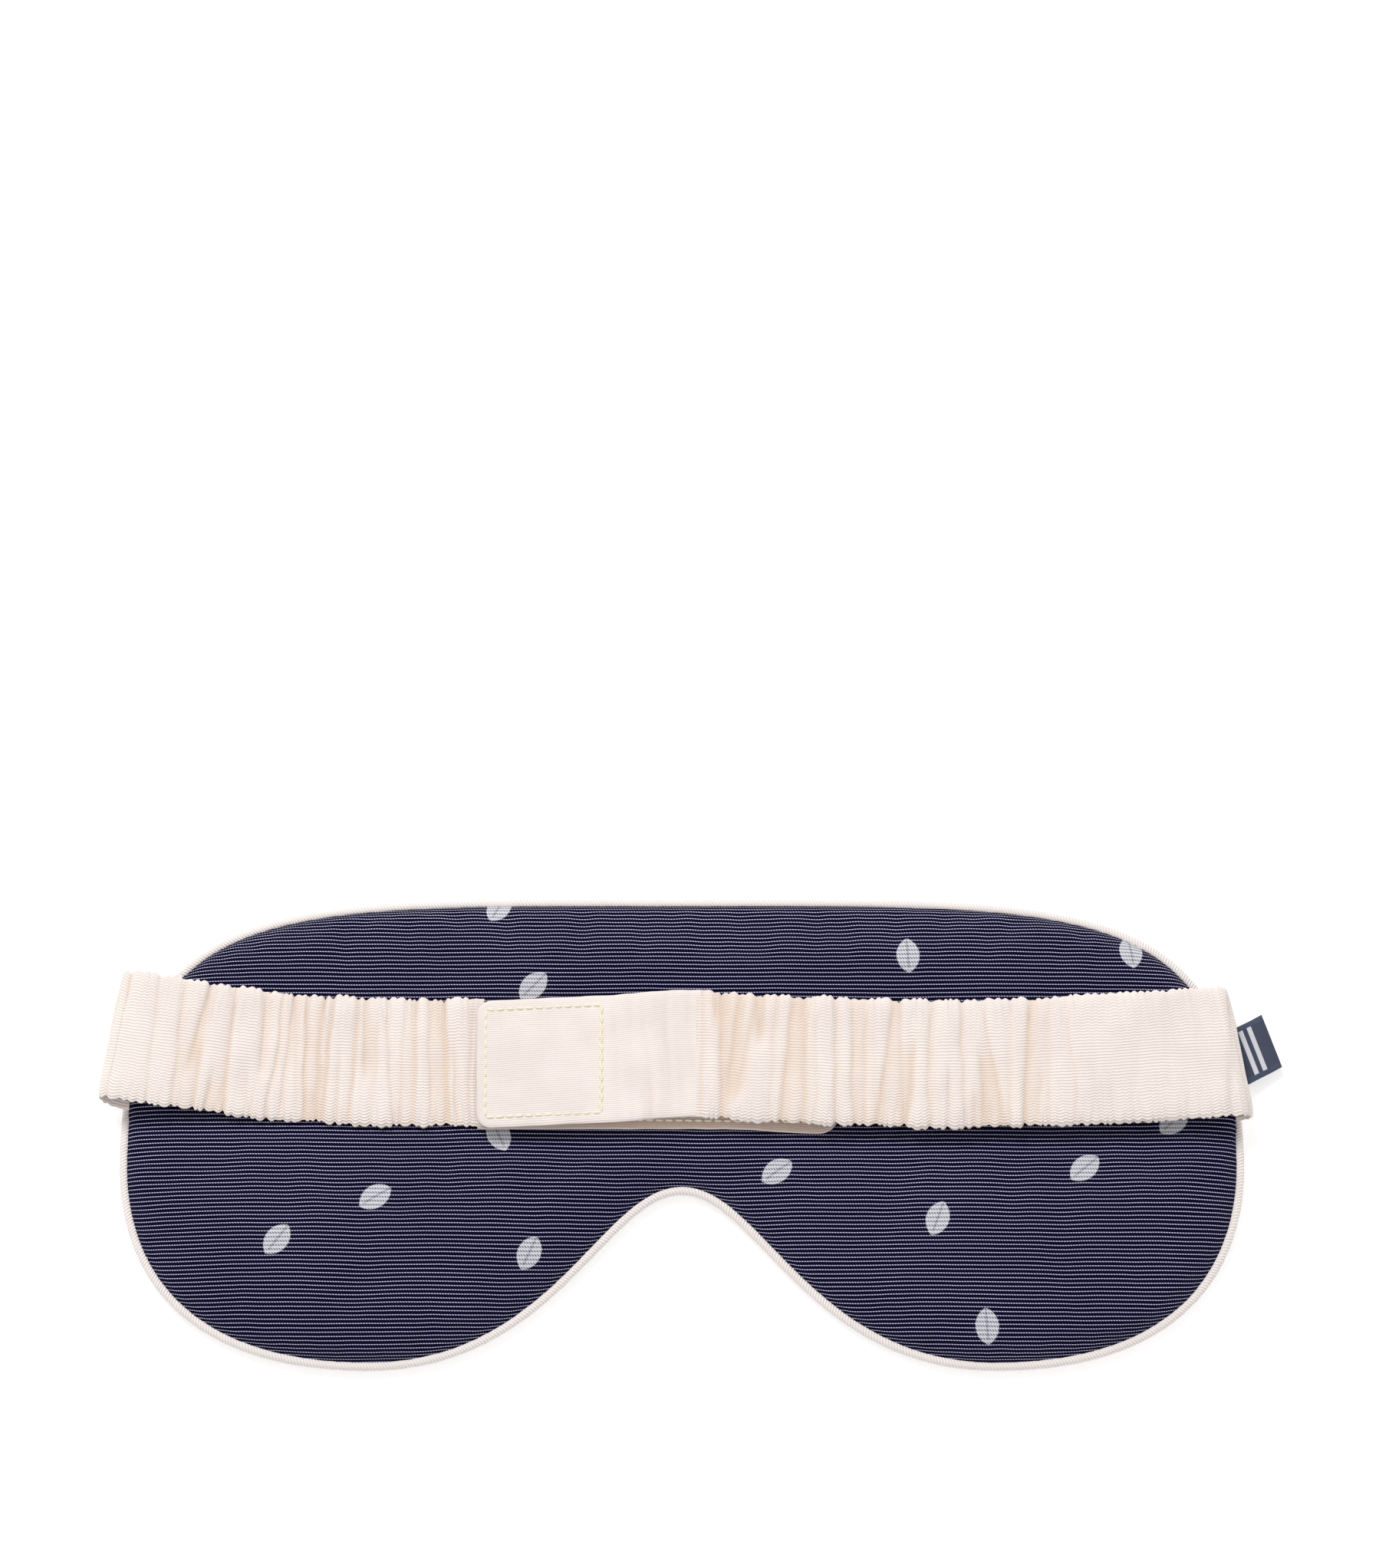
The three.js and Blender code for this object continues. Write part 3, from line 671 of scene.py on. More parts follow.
def face_held(x, y):
    """The seam and the ground below the strap hold the face side."""
    seam = 1 - smooth(from_edge(x, y)[0], 1.6, 4.0)
    return max(seam, smooth(under_strap(x, y), 0.05, 0.4), strap_lift(x, y))


fill_with_air(face_side, face_held, FILLING_CAP)
thicken(face_side, COVER_THICKNESS)
refine(face_side)
stand_in(face_side, "navy_jersey", "mask", "face_cover")

outer_mesh = cover_mesh(outer_height, lambda inset: lerp(PIPING_Z, 0, crown_rise(inset)))
outer_side = finish_piece("outer_side_cover", outer_mesh, OUTER_NAVY, closed=False)
thicken(outer_side, COVER_THICKNESS)
refine(outer_side)
stand_in(outer_side, "navy_jersey", "mask", "outer_cover")


# ---- Padding and lining inside ----
SLAB_COUNT = 180


def slab_of_outline(inset, bottom, top, rounding):
    """The outline drawn in by an inset, raised into a slab with rounded edges."""
    bm = bmesh.new()
    bmesh.ops.create_circle(bm, cap_ends=True, segments=SLAB_COUNT, radius=1)
    places, _ = walk_outline(SLAB_COUNT)
    for vert, (place, outward) in zip(bm.verts, places):
        vert.co = place - outward * inset + UP * bottom
    base = list(bm.faces)
    out = bmesh.ops.extrude_face_region(bm, geom=base)
    raised = [g for g in out["geom"] if isinstance(g, bmesh.types.BMVert)]
    bmesh.ops.translate(bm, vec=(0, 0, top - bottom), verts=raised)
    if rounding:
        sharp = [edge for edge in bm.edges if abs(edge.verts[0].co.z - edge.verts[1].co.z) < 1e-6]
        soften(bm, sharp, rounding, 4)
    lay_flat(bm)
    return bm


PAD_INSET, PAD_ROUNDING = 8.8, 1.9
PAD_BOTTOM, PAD_TOP = box_mm("padding")[0].z, PLATEAU - 1.5
LINING_INSET = 6.6
LINING_LOW, LINING_HIGH = box_mm("blackout_lining")
pad_mesh = slab_of_outline(PAD_INSET, PAD_BOTTOM, PAD_TOP, PAD_ROUNDING)
pad = finish_piece("padding_foam_sheet", pad_mesh, FOAM, shade=False)
stand_in(pad, "padding_foam", "mask", "padding")

lining_mesh = slab_of_outline(LINING_INSET, LINING_LOW.z, LINING_HIGH.z, 0)
lining = finish_piece("blackout_lining_sheet", lining_mesh, LINING, shade=False)
stand_in(lining, "black_lining", "mask", "blackout_lining")


# ---- Piping ----
PIPING_COLUMNS = 840
PIPING_PLACES, _ = walk_outline(PIPING_COLUMNS)
FLANGE_REACH = 3.2
PIPING_GATHER = 0.085
PIPING_CLOTH = 7.0
# The bulb's share of the way round the piping, and half the angle at which it opens to the flange.
BULB_SHARE, BULB_MOUTH = 0.8, 0.32


def piping_point(u, v):
    """The bulb takes most of the way round, and the flange that the seam catches takes the rest."""
    index = round(u * PIPING_COLUMNS) % PIPING_COLUMNS
    place, outward = PIPING_PLACES[index]
    radius = PIPING_RADIUS + PIPING_GATHER * bumps(index * 0.9, 0.4, 0)
    if v < BULB_SHARE:
        angle = lerp(math.pi - BULB_MOUTH, -math.pi + BULB_MOUTH, v / BULB_SHARE)
        out, rise = radius * math.cos(angle), radius * math.sin(angle)
    else:
        t = (v - BULB_SHARE) / (1 - BULB_SHARE)
        tail = 1 - abs(2 * t - 1)
        out = -radius * math.cos(BULB_MOUTH) - FLANGE_REACH * tail
        rise = radius * math.sin(BULB_MOUTH) * (2 * t - 1)
    point = place - outward * (PIPING_RADIUS - out)
    return point.x, point.y, PIPING_Z + rise, 0.0


piping_mesh = rolled(
    PIPING_COLUMNS, 20, piping_point, lambda u, v: (u * GIRTH, v * PIPING_CLOTH), ring=True
)
piping = finish_piece("seam_piping", piping_mesh, PIPING_CREAM)
stand_in(piping, "cream_piping", "mask", "piping")


CORD_RADIUS, CORD_STRAND = 0.40, 0.06
CORD_TURNS = 132
CORD_GIRTH = 2.8


def cord_point(u, v):
    """Three strands laid up together inside the piping."""
    index = round(u * PIPING_COLUMNS) % PIPING_COLUMNS
    place, outward = PIPING_PLACES[index]
    angle = v * math.tau
    twist = u * CORD_TURNS * math.tau
    radius = CORD_RADIUS + CORD_STRAND * math.cos(3 * angle + twist)
    point = place - outward * (PIPING_RADIUS - radius * math.cos(angle))
    return point.x, point.y, PIPING_Z + radius * math.sin(angle), 0.0


cord_mesh = rolled(
    PIPING_COLUMNS, 12, cord_point, lambda u, v: (u * GIRTH, v * CORD_GIRTH), ring=True
)
filler = finish_piece("piping_filler_cord", cord_mesh, CORD)
stand_in(filler, "cotton_cord", "mask", "piping_cord")


# ---- Strap ----
ROOT_THICKNESS = 0.5
FOLD_RADIUS = STRAP_PLACE.z - (ROOT_LOW.z + ROOT_THICKNESS)
FOLD_TOP = STRAP_PLACE.z + FOLD_RADIUS
FOLD_LENGTH = math.pi * FOLD_RADIUS
ROOT_LENGTH = 5.4
STRAP_DIP = 56.9
STRAP_DROP = STRAP_PLACE.y - STRAP_MIDDLE_Y
FOLD_X = {"right": STRAP_PLACE.x - 0.9, "left": STRAP_PLACE.x}
# Places along a strap are measured from the top of its fold, negative round the fold.
SEAM_AT = {"right": -2.6, "left": -1.5}
CREASE_AT, CREASE_LEAN, CREASE_STEP = -0.2, -2.4, 0.55
TUCK = 2.0
SLEEVE_ENDS = {"right": box_mm("right_sleeve")[0].x, "left": -box_mm("left_sleeve")[1].x - TUCK}
RUN_HEIGHTS = {
    "right": (TAB_LOW.z + TAB_HIGH.z) / 2,
    "left": LAP_LOW.z + 0.78,
}
# How far a sleeve stands out over its elastic, above and below.
LOFTS = {"right": (1.25, 1.0), "left": (0.95, 0.6)}
# How the fold leans and how far it stands out of the seam, against its radius.
BEND_LEAN = {"right": 0.35, "left": -0.25}
BEND_REACH = {"right": 0.68, "left": 1.40}
ROOT_RISE = 0.8
DESCENT = 32
# How the upper strap lies over the mask: places along it and how high its middle line is there.
RUN_X = (-60, -38.7, -13.3, 1.7, 16.7, 31.7, 54.2, 76.7, 91.7, 104, 112)
RUN_Y = (-5.6, -5.2, -4.05, -3.0, -3.9, -4.65, -5.25, -4.4, -3.6, -2.75, -2.1)


def upper_middle(x):
    """Height on the mask of the upper strap's middle line, smoothly through its places."""
    k = max(i for i, place in enumerate(RUN_X[:-1]) if place <= max(x, RUN_X[0]))
    t = (x - RUN_X[k]) / (RUN_X[k + 1] - RUN_X[k])
    near = RUN_Y[max(k - 1, 0) : k + 3]
    if len(near) < 4 or k == 0:
        return lerp(RUN_Y[k], RUN_Y[k + 1], t)
    a, b, c, d = near
    return b + 0.5 * t * (c - a + t * (2 * a - 5 * b + 4 * c - d + t * (3 * (b - c) + d - a)))


def run_point(side, x):
    """Middle of the upper run of a strap at a distance x from the mask's middle."""
    if side == "right":
        y = upper_middle(x)
        risen = smooth(x, 90, 104)
    else:
        share = max(0.0, (x - STRAP_PLACE.x + STRAP_DIP) / STRAP_DIP)
        y = STRAP_MIDDLE_Y + (STRAP_DROP + END_SHIFT["left"]) * share * share
        risen = smooth(x, STRAP_PLACE.x - DESCENT, STRAP_PLACE.x - 2.5)
    return Vector((x, y, lerp(RUN_HEIGHTS[side], FOLD_TOP, risen)))


@functools.lru_cache(maxsize=None)
def strap_station(side, s):
    """Place, across and outward directions of the strap's middle, s from the top of its fold."""
    out = Vector((STRAP_AXIS.y, -STRAP_AXIS.x, 0))
    if s >= 0:
        x = FOLD_X[side] - s
        ahead = (run_point(side, x - 0.4) - run_point(side, x + 0.4)).normalized()
        middle, across = run_point(side, x), ahead.cross(UP).normalized()
        normal = across.cross(ahead).normalized()
        across = STRAP_AXIS.lerp(across, smooth(s, 0, 24)).normalized()
    else:
        turn = clamp(-s / FOLD_LENGTH) * math.pi
        reach = BEND_REACH[side] * FOLD_RADIUS * math.sin(turn) * (1 - BEND_LEAN[side] * math.cos(turn))
        centre = STRAP_PLACE + STRAP_AXIS * END_SHIFT[side]
        centre.x += FOLD_X[side] - STRAP_PLACE.x
        if side == "right":
            centre.y = upper_middle(FOLD_X[side])
        middle = centre + out * reach + UP * (FOLD_RADIUS * math.cos(turn))
        past = max(0.0, -s - FOLD_LENGTH)
        middle -= out * past + UP * (ROOT_RISE * smooth(-s, 0.55 * FOLD_LENGTH, FOLD_LENGTH + 1.5))
        normal = (out * math.sin(turn) + UP * math.cos(turn)).normalized()
        across = Vector((STRAP_AXIS.x, STRAP_AXIS.y, 0))
        if side == "left":
            middle.y -= 0.8 * smooth(-s, 3, FOLD_LENGTH)
    return middle, across, normal


FOLDS_FROM, FOLDS_TO = -11, 108
FOLD_SPACING, FOLD_CLOSING = 5.0, 2.6


def make_folds(seed, gathered):
    """Random folds across a strap: place, depth, width, lean, wander and how far across each runs."""
    draw = random.Random(seed)
    folds, s = [], FOLDS_FROM
    while s < FOLDS_TO:
        whole = draw.random() < 0.62
        low = -1.6 if whole or draw.random() < 0.5 else draw.uniform(-0.7, 0.5)
        high = 1.6 if whole or low > -1.5 else draw.uniform(-0.5, 0.7)
        folds.append(
            {
                "at": s,
                "depth": draw.uniform(0.4, 1.15) * gathered(s),
                "width": draw.uniform(0.55, 1.5),
                "lean": draw.gauss(0, 0.75),
                "wander": draw.uniform(0.2, 0.8),
                "phase": draw.uniform(0, 50),
                "sharp": draw.choice((-1, 1)),
                "low": low,
                "high": high,
            }
        )
        s += draw.uniform(0.55, 1.55) * (FOLD_SPACING - FOLD_CLOSING * gathered(s))
    return folds


FOLD_REACH, FOLD_FADE, DEEPEST = 6, 0.25, 1.35


def fold_depth(folds, s, w):
    """How deep the cloth lies in its folds, s along the strap and w across it, from -1 to 1."""
    total = 0.0
    for fold in folds:
        if abs(s - fold["at"]) > FOLD_REACH:
            continue
        wander = fold["wander"] * bumps(w * 1.7, fold["phase"], 0)
        gap = s - (fold["at"] + fold["lean"] * w + wander)
        width = fold["width"] * (1.35 if gap * fold["sharp"] > 0 else 0.5)
        begun = smooth(w, fold["low"] - FOLD_FADE, fold["low"] + FOLD_FADE)
        ended = smooth(w, fold["high"] - FOLD_FADE, fold["high"] + FOLD_FADE)
        total += fold["depth"] * begun * (1 - ended) * math.exp(-abs(gap) / width)
    return DEEPEST * math.tanh(total / DEEPEST)


def gathering(side):
    """Where a strap is strongly gathered, from 0 to 1, by how far it is from its fold."""
    if side == "right":
        return lambda s: 0.26 + 0.74 * smooth(s, 16, 38)
    return lambda s: 0.55 + 0.45 * smooth(s, 2, 16)


FOLDS = {}
for side, seed in (("right", 11), ("left", 29)):
    creases = [{"at": SEAM_AT[side], "depth": 0.35, "width": 0.5, "lean": 0}]
    if side == "right":
        creases.append({"at": CREASE_AT, "depth": 0.42, "width": 0.55, "lean": CREASE_LEAN})
    whole = {"wander": 0.25, "phase": 4, "sharp": -1, "low": -1.6, "high": 1.6}
    FOLDS[side] = [
        make_folds(seed + k, gathering(side)) + [crease | whole for crease in creases] for k in (0, 1)
    ]


def strap_skin(side, s, v):
    """A point of the gathered sleeve: v runs round it from one edge over the top and back below."""
    middle, across, normal = strap_station(side, round(s, 4))
    top = v <= 0.5
    w = math.cos(math.tau * v)
    depth = fold_depth(FOLDS[side][0 if top else 1], s, w)
    edge_depth = fold_depth(FOLDS[side][0], s, math.copysign(1, w))
    pressed = smooth(s, -FOLD_LENGTH - 1, -FOLD_LENGTH * 0.45)
    level = smooth(FOLD_X[side] - SLEEVE_ENDS[side] - s, 0.3, 3.5)
    bead = 0.48 * abs(math.sin(math.pi * (s / 1.6 + 0.8 * bumps(s / 3, w, 0))))
    half = STRAP_HALF + pressed * level * (0.1 + bead - edge_depth)
    puff = 0.2 * bumps(s / 4, w * 2, 3.0) - 0.3 * (1 - smooth(s, 2, 14))
    loft = lerp(0.5, LOFTS[side][0 if top else 1], pressed)
    thick = loft + pressed * (puff + 0.25 - (0.95 if top else 0.5) * depth)
    if side == "right" and top:
        crease = CREASE_AT + CREASE_LEAN * w
        thick -= CREASE_STEP * smooth(s, -7, -5) * (1 - smooth(s, crease - 0.7, crease + 0.1))
    thick = lerp(0.6, max(0.32, thick), level)
    round_off = clamp(1 - abs(w) ** 9) ** 0.5
    point = middle + across * (half * w) + normal * (thick * round_off * (1 if top else -1))
    mirror = 1 if side == "right" else -1
    # The last value is painted shade, strongest deep in the folds.
    return mirror * point.x, point.y, point.z, clamp((depth - 0.12) * 1.1 * pressed)


def girth_place(v):
    """Distance round the sleeve from its first edge, in millimetres."""
    w = math.cos(math.tau * v)
    return STRAP_HALF * (1 - w) if v <= 0.5 else STRAP_HALF * (3 + w)


SLEEVE_ROWS = 56
CLOTH_PER_LENGTH = 1.25


def strap_length(side, start, end, columns):
    """A stretch of gathered sleeve between two places along the strap."""
    return rolled(
        columns,
        SLEEVE_ROWS,
        lambda u, v: strap_skin(side, lerp(start, end, u), v),
        lambda u, v: (lerp(start, end, u) * CLOTH_PER_LENGTH, girth_place(v)),
    )


ELASTIC_HALF = STRAP_HALF - 1.9
ELASTIC_THICKNESS = 0.52


def elastic_length(side, start, end):
    """The elastic band inside a sleeve, with rounded edges."""

    def place(u, v):
        middle, across, normal = strap_station(side, round(lerp(start, end, u), 4))
        w = math.cos(math.tau * v)
        thick = ELASTIC_THICKNESS / 2 * clamp(1 - abs(w) ** 10) ** 0.5
        point = middle + across * (ELASTIC_HALF * w) + normal * (thick if v <= 0.5 else -thick)
        return (point.x if side == "right" else -point.x), point.y, point.z, 0.0

    return rolled(90, 24, place, lambda u, v: (lerp(start, end, u), girth_place(v)))


for side, sign in (("right", 1), ("left", -1)):
    strap, far_end = side + "_strap", side + "_end"
    end, seam = FOLD_X[side] - SLEEVE_ENDS[side], SEAM_AT[side]
    fold_mesh = strap_length(side, -FOLD_LENGTH - ROOT_LENGTH, seam, 76)
    fold = finish_piece(side + "_strap_fold", fold_mesh, STRAP_CREAM)
    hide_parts(side + "_strap_root")
    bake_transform(fold)

    sleeve = finish_piece(side + "_gathered_sleeve", strap_length(side, seam, end, 330), STRAP_CREAM)
    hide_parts(side + "_sleeve")
    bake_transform(sleeve)

    band = finish_piece(side + "_sleeve_elastic", elastic_length(side, seam + 0.5, end - 0.6), ELASTIC)
    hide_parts(side + "_elastic")
    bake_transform(band)


# ---- Flat ends of the strap ----
LOOP_LOW, LOOP_HIGH = box_mm("loop_tape")
HOOK_LOW, HOOK_HIGH = box_mm("hook_tape")
DENT_AT = 0.86
TIP_CROWDING = 1.6


def sewn_dent(x, w):
    """1 in the groove that the stitching presses into a flat end, and 0 away from it."""
    low, high = (HOOK_LOW.x, HOOK_HIGH.x) if x < 0 else (LOOP_LOW.x, LOOP_HIGH.x)
    if not low - 1 < x < high + 1:
        return 0.0
    along = math.exp(-(((abs(w) - DENT_AT) / 0.04) ** 2))
    if abs(w) > DENT_AT:
        return along
    return max(along, *(math.exp(-(((x - at) / 0.45) ** 2)) for at in (low + 0.4, high - 0.4)))


def flat_end(start, end, middle_z, thickness, corner, middle_y, wrinkle, columns):
    """Two plies pressed flat, with rounded corners at the tip and soft folded edges."""

    def along(u):
        """Columns crowd towards the tip, where the corners are."""
        return lerp(start, end, 1 - clamp(1 - u) ** TIP_CROWDING)

    def place(u, v):
        x = along(u)
        left = abs(end - x)
        w = math.cos(math.tau * v)
        half = STRAP_HALF
        if left < corner:
            half -= corner - math.sqrt(max(0.0, corner**2 - (corner - left) ** 2))
        thick = thickness / 2 * math.sqrt(clamp(1 - (1 - min(1, left / 0.5)) ** 2))
        thick *= clamp(1 - abs(w) ** 14) ** 0.5
        if v <= 0.5:
            thick *= 1 - 0.14 * sewn_dent(x, w)
        half += 0.10 * bumps(x / 4, w, 9)
        # wrinkle gives a crease height and an amount of painted shade.
        crease, painted_shade = wrinkle(x, w)
        z = middle_z + (thick if v <= 0.5 else -thick) + crease
        return x, middle_y(x) + half * w, z, painted_shade

    return rolled(columns, 64, place, lambda u, v: (along(u), girth_place(v)))


TAB_Z = (TAB_LOW.z + TAB_HIGH.z) / 2
LAP_Z = (LAP_LOW.z + LAP_HIGH.z) / 2
LEAD_START = SLEEVE_ENDS["right"] + 1.2
LAP_START = -SLEEVE_ENDS["left"] - 1.2


def lead_wrinkle(x, w):
    """Soft upright creases where the lead leaves the gathers, none on the stitched tab, with painted shade
    in the creases and the dent.
    """
    free = smooth(x, -14.5, -9)
    soft = bumps(x / 1.9 + 0.3 * math.sin(w * 2.0), w * 0.7, 5.0)
    broad = bumps(x / 9, w * 1.5, 2.0)
    dent = 0.9 * math.exp(-abs(x + 13.0 + 0.25 * w) / 0.5) * smooth(x, -14.6, -13.4)
    return free * 0.36 * soft + 0.12 * broad - 0.08 * dent, clamp(free * 0.5 * (0.2 - soft) + 0.3 * dent)


def lap_wrinkle(x, w):
    """A nearly smooth lap, darker along its folded edges where the strap over it keeps the light off."""
    soft = bumps(x / 6, w, 7.0)
    return 0.08 * soft, 0.15 + 0.85 * (1 - smooth(abs(w), 0.975, 0.995))


tab_mesh = flat_end(LEAD_START, TAB_LOW.x, TAB_Z, 1.15, 3.0, upper_middle, lead_wrinkle, 150)
tab = finish_piece("lead_and_closure_tab", tab_mesh, TAB_CREAM)
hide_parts("right_lead", "closure_tab")
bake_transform(tab)


def lap_middle(x):
    """The lap lies turned a little, so that its lower edge shows below the strap over it."""
    return STRAP_MIDDLE_Y - 0.55 - 0.9 * smooth(x, 8, 27)


lap_mesh = flat_end(LAP_START, LAP_HIGH.x, LAP_Z, 1.0, 4.0, lap_middle, lap_wrinkle, 130)
lap = finish_piece("under_lap", lap_mesh, TAB_CREAM)
stand_in(lap, "cream_jersey", "left_end", "left_lap")


# ---- Closure tapes ----
TAPE_CORNER = 1.0


def tape_mesh(low, high):
    """A tape with rounded corners and softened edges."""
    bm = bmesh.new()
    bmesh.ops.create_cube(bm, size=1)
    bmesh.ops.scale(bm, vec=high - low, verts=bm.verts)
    bmesh.ops.translate(bm, vec=(low + high) / 2, verts=bm.verts)
    upright = [edge for edge in bm.edges if abs(edge.verts[0].co.z - edge.verts[1].co.z) > 0.1]
    soften(bm, upright, TAPE_CORNER, 5)
    level = [edge for edge in bm.edges if abs(edge.verts[0].co.z - edge.verts[1].co.z) < 1e-4]
    rim = [edge for edge in level if edge.calc_face_angle(0) > 1]
    soften(bm, rim, 0.12, 2)
    lay_flat(bm)
    return bm


ARC_HEIGHT, ARC_WIRE = 0.42, 0.06


def arc_mesh(facing, sweep):
    """One tiny arc of wire, spun from a ring: a whole loop, or a hook that is open at one side."""
    bm = bmesh.new()
    start = bmesh.ops.create_circle(bm, segments=4, radius=ARC_WIRE, cap_ends=True)["verts"]
    bmesh.ops.translate(bm, vec=(ARC_HEIGHT / 2, 0, 0), verts=start)
    geom = list(bm.verts) + list(bm.edges) + list(bm.faces)
    turn = {"cent": (0, 0, 0), "axis": (0, -1, 0), "angle": sweep, "steps": 5}
    bmesh.ops.spin(bm, geom=geom, use_merge=False, **turn)
    bmesh.ops.scale(bm, vec=(0.75, 1, 2.0 * facing), verts=bm.verts)
    bmesh.ops.recalc_face_normals(bm, faces=bm.faces)
    mesh = bpy.data.meshes.new("arc")
    bm.to_mesh(mesh)
    bm.free()
    return mesh


PILE_MARGIN = 0.8


def pile_mesh(low, high, pitch, facing, arc):
    """Rows of arcs that stand on a tape, each turned and leaning a little its own way."""
    bm = bmesh.new()
    draw = random.Random(5)
    columns = int((high.x - low.x - 2 * PILE_MARGIN) / pitch)
    rows = int((high.y - low.y - 2 * PILE_MARGIN) / pitch)
    for i in range(columns):
        for j in range(rows + 1):
            x = low.x + PILE_MARGIN + (i + 0.5 * (j % 2)) * pitch
            y = low.y + PILE_MARGIN + j * pitch
            turn = Matrix.Rotation(draw.uniform(-0.5, 0.5), 4, "Z")
            lean = Matrix.Rotation(draw.uniform(-0.25, 0.25), 4, "X")
            place = Matrix.Translation((x, y, high.z if facing > 0 else low.z)) @ turn @ lean
            arc.transform(place)
            bm.from_mesh(arc)
            arc.transform(place.inverted())
    return bm


for name, low, high, node, body, facing in (
    ("loop_tape_ground", LOOP_LOW, LOOP_HIGH - Vector((0, 0, 0.25)), "loop_tape", "left_end", 1),
    ("hook_tape_ground", HOOK_LOW + Vector((0, 0, 0.15)), HOOK_HIGH, "hook_tape", "closure_tab", -1),
):
    tape = finish_piece(name, tape_mesh(low, high), TAPE, shade=False)
    stand_in(tape, "closure_tape", body, node)
    loops = facing > 0
    arc = arc_mesh(facing, math.pi if loops else 0.72 * math.pi)
    arcs = pile_mesh(low, high, 1.25 if loops else 1.4, facing, arc)
    bpy.data.meshes.remove(arc)
    pile = finish_piece("soft_loops" if loops else "stiff_hooks", arcs, PILE, closed=False)
    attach(pile, body)


# ---- Stitching ----
STITCH_PITCH = 1.9
STITCH_THICKNESS = 0.56
STITCH_INSET = 0.25


def stitch_row(bm, start, end, z, jitter, middle_y):
    """Single stitches laid end to end from start to end, each dipping into the cloth."""
    start, end = (Vector((p.x, p.y + middle_y(p.x) - STRAP_MIDDLE_Y)) for p in (start, end))
    run = end - start
    count = max(1, round(run.length / STITCH_PITCH))
    angle = math.atan2(run.y, run.x)
    size = Matrix.Diagonal((STITCH_PITCH * 0.41, STITCH_THICKNESS / 2, STITCH_THICKNESS * 0.46, 1))
    lying = Matrix.Rotation(math.pi / 2, 4, "Y")
    for k in range(count):
        middle = start.lerp(end, (k + 0.5) / count)
        place = Matrix.Translation((middle.x, middle.y, z))
        turn = Matrix.Rotation(angle + jitter.gauss(0, 0.05), 4, "Z")
        bmesh.ops.create_uvsphere(
            bm, u_segments=8, v_segments=6, radius=1, matrix=place @ turn @ size @ lying
        )


def stitch_box(name, node, body, z, doubled, middle_y):
    """A rectangle of stitching. Where it is doubled, the side nearer the sleeve is sewn twice."""
    low, high = box_mm(node)
    bm = bmesh.new()
    jitter = random.Random(3)
    x0, x1 = low.x + STITCH_INSET, high.x - STITCH_INSET
    y0, y1 = low.y + STITCH_INSET, high.y - STITCH_INSET
    corners = [Vector((x0, y0)), Vector((x1, y0)), Vector((x1, y1)), Vector((x0, y1))]
    for a, b in zip(corners, corners[1:] + corners[:1]):
        stitch_row(bm, a, b, z, jitter, middle_y)
    if doubled:
        shift = Vector((-0.28, 0.7))
        stitch_row(bm, corners[1] + shift, corners[2] + shift * 0.8, z + 0.03, jitter, middle_y)
    stand_in(finish_piece(name, bm, THREAD), "sewing_thread", body, node)


stitch_box("tab_stitching", "hook_tape_stitching", "closure_tab", TAB_Z + 0.56, True, upper_middle)
stitch_box("lap_stitching", "loop_tape_stitching", "left_end", LOOP_HIGH.z - 0.2, False, lap_middle)


# ---- Side label ----
LABEL_SHIFT = -4.1
LABEL_PLACE, LABEL_AXIS = joint_place("label_flip")
LABEL_PLACE = LABEL_PLACE + LABEL_AXIS * LABEL_SHIFT
LABEL_OUT = Vector((LABEL_AXIS.y, -LABEL_AXIS.x, 0))
LABEL_WIDTH = 11.2
LABEL_REACH = 7.4
LABEL_ROOT = 3.4
LABEL_SKEW = 0.16
LABEL_DROOP = 0.85
LABEL_THICKNESS = 0.38
LABEL = satin_label("slate_label_weave")


def label_point(u, v):
    """A folded woven band that stands out of the side seam and droops a little."""
    reach = lerp(-LABEL_ROOT, LABEL_REACH, u)
    w = math.cos(math.tau * v)
    left = LABEL_REACH - reach
    thick = LABEL_THICKNESS / 2 * math.sqrt(clamp(1 - (1 - min(1, left / 0.25)) ** 2, 0.02, 1))
    thick *= clamp(1 - abs(w) ** 16) ** 0.5
    free = smooth(reach, 0, LABEL_REACH)
    curl = 0.12 * free * bumps(reach / 3, w * 1.4, 0)
    droop = LABEL_DROOP * smooth(reach, 1.0, 5.5)
    skewed = LABEL_SKEW * max(0.0, reach)
    middle = LABEL_PLACE + LABEL_OUT * reach + LABEL_AXIS * (LABEL_WIDTH / 2 * w + skewed)
    z = middle.z + curl - droop + (thick if v <= 0.5 else -thick)
    return middle.x, middle.y, z, 0.0


def label_lay(u, v):
    w = math.cos(math.tau * v)
    return lerp(-LABEL_ROOT, LABEL_REACH, u), LABEL_WIDTH / 2 * (1 - w)


label = finish_piece("side_seam_label", rolled(40, 36, label_point, label_lay), LABEL)
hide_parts("side_label", "side_label_root")
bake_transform(label)


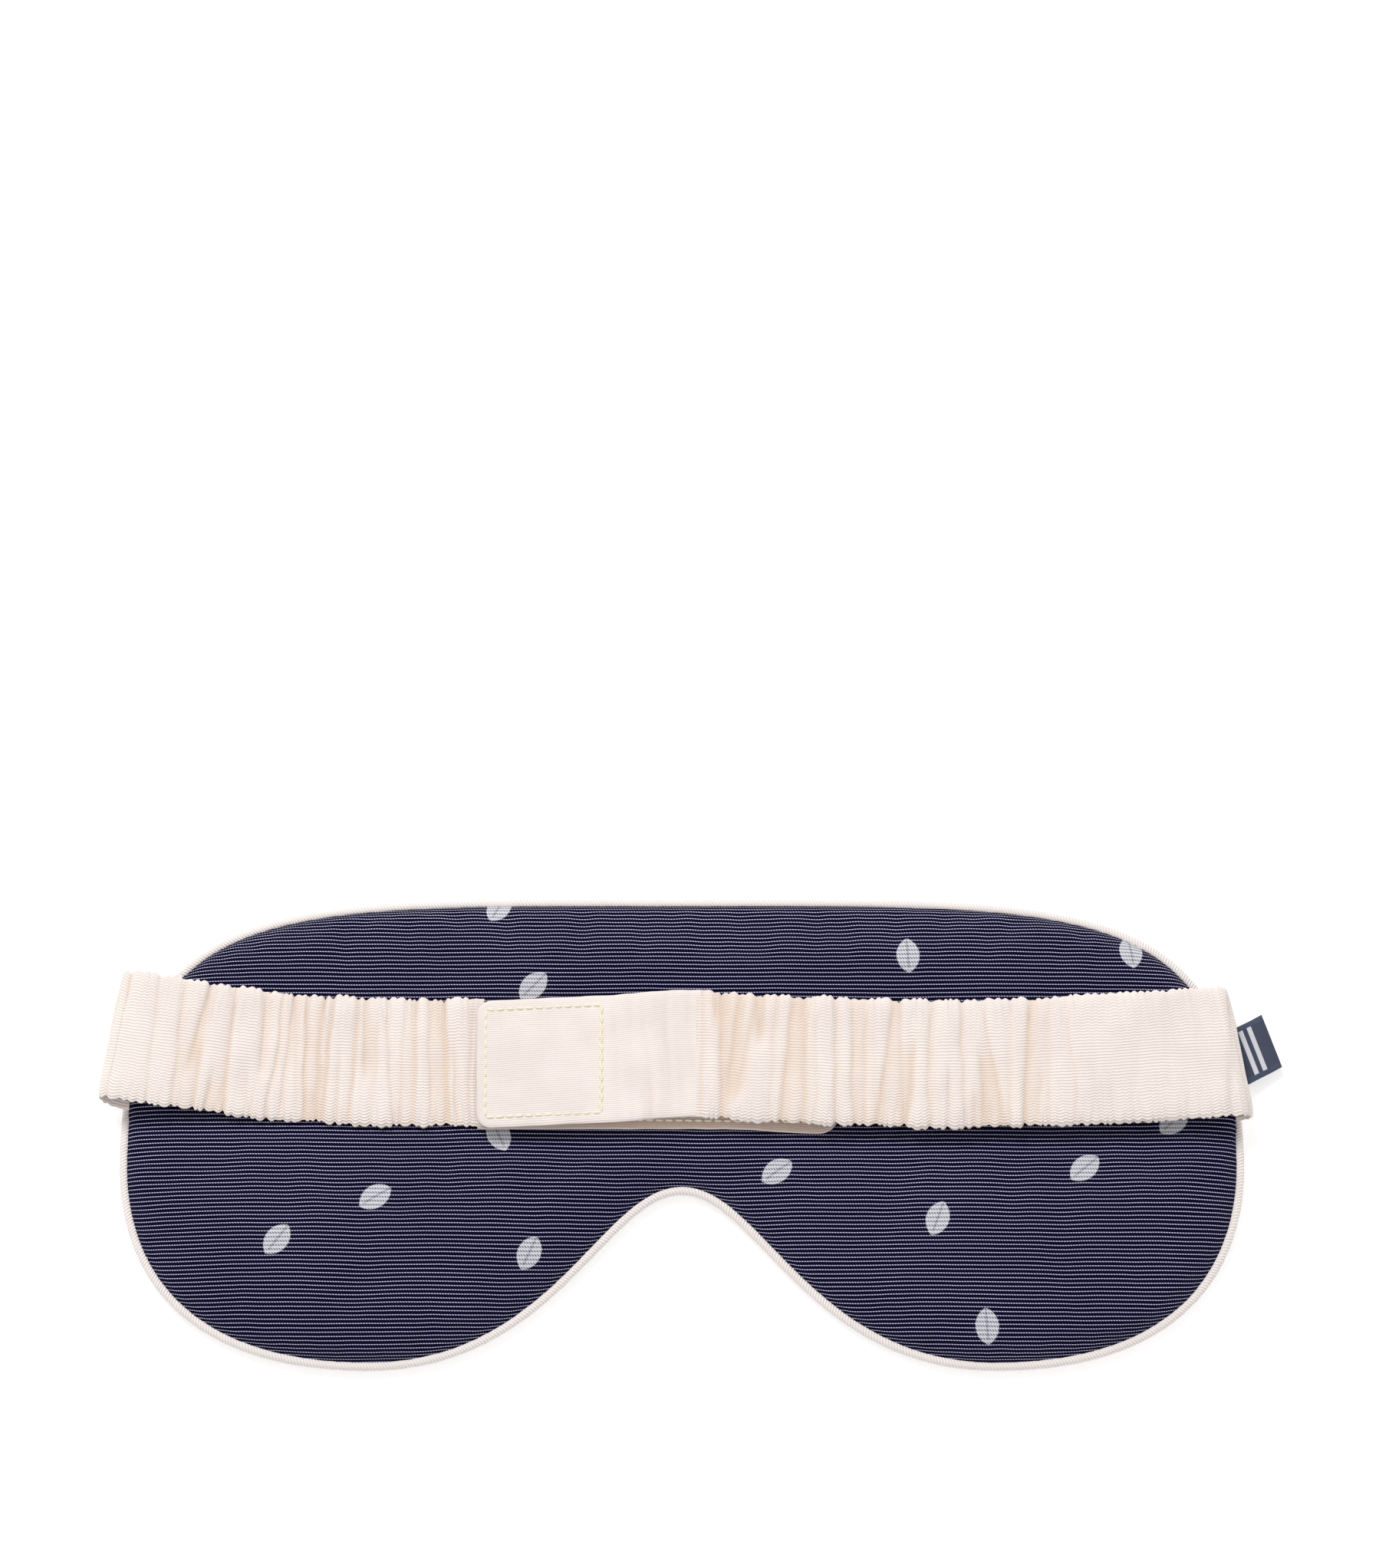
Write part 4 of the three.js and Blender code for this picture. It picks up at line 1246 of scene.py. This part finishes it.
# ---- Floor, light and camera ----
FLOOR_HALF = 3000
floor_mesh = bmesh.new()
bmesh.ops.create_grid(floor_mesh, x_segments=8, y_segments=8, size=FLOOR_HALF)
floor = finish_piece("pale_floor", floor_mesh, plain_floor("pale_floor_card"), closed=False, shade=False)


def area_light(name, place, size, power):
    """A round soft light that looks at the middle of the mask."""
    data = bpy.data.lights.new(name, "AREA")
    data.shape = "DISK"
    data.size, data.energy = size, power
    light = bpy.data.objects.new(name, data)
    light.location = place
    light.rotation_euler = (-Vector(place)).to_track_quat("-Z", "Y").to_euler()
    scene.collection.objects.link(light)


world = bpy.data.worlds.new("soft_daylight")
world.use_nodes = True
sky = world.node_tree.nodes["Background"]
sky.inputs["Color"].default_value = (1.0, 0.995, 0.985, 1)
sky.inputs["Strength"].default_value = 0.60
scene.world = world
area_light("key_light", (-0.4, 0.8, 1.25), 0.6, 14)
area_light("fill_light", (0.7, -0.6, 1.3), 1.2, 2)
scene.view_settings.view_transform = "Standard"

# The camera looks a little above the mask's middle, so that the mask sits low in the view.
IMAGE_HEIGHT = 2044
VIEW_HEIGHT = 0.15 * MM * IMAGE_HEIGHT
CAMERA_DISTANCE = 1.5
SENSOR = 36
AIM_X, AIM_Y, AIM_RISE = 1.5, -17.25, 68.7
ELEVATION = math.radians(78) - math.atan(AIM_RISE * MM / CAMERA_DISTANCE)
back = Vector((0, -math.cos(ELEVATION), math.sin(ELEVATION)))
view_up = Vector((0, math.sin(ELEVATION), math.cos(ELEVATION)))
aim = Vector((AIM_X, AIM_Y, 0)) * MM + view_up * AIM_RISE * MM
camera_data = bpy.data.cameras.new("camera")
camera_data.sensor_width = SENSOR
camera_data.lens = SENSOR * CAMERA_DISTANCE / VIEW_HEIGHT
camera_data.clip_start, camera_data.clip_end = 0.05, 20
camera = bpy.data.objects.new("camera", camera_data)
camera.location = aim + back * CAMERA_DISTANCE
camera.rotation_euler = (-back).to_track_quat("-Z", "Y").to_euler()
scene.collection.objects.link(camera)
bpy.context.scene.camera = camera
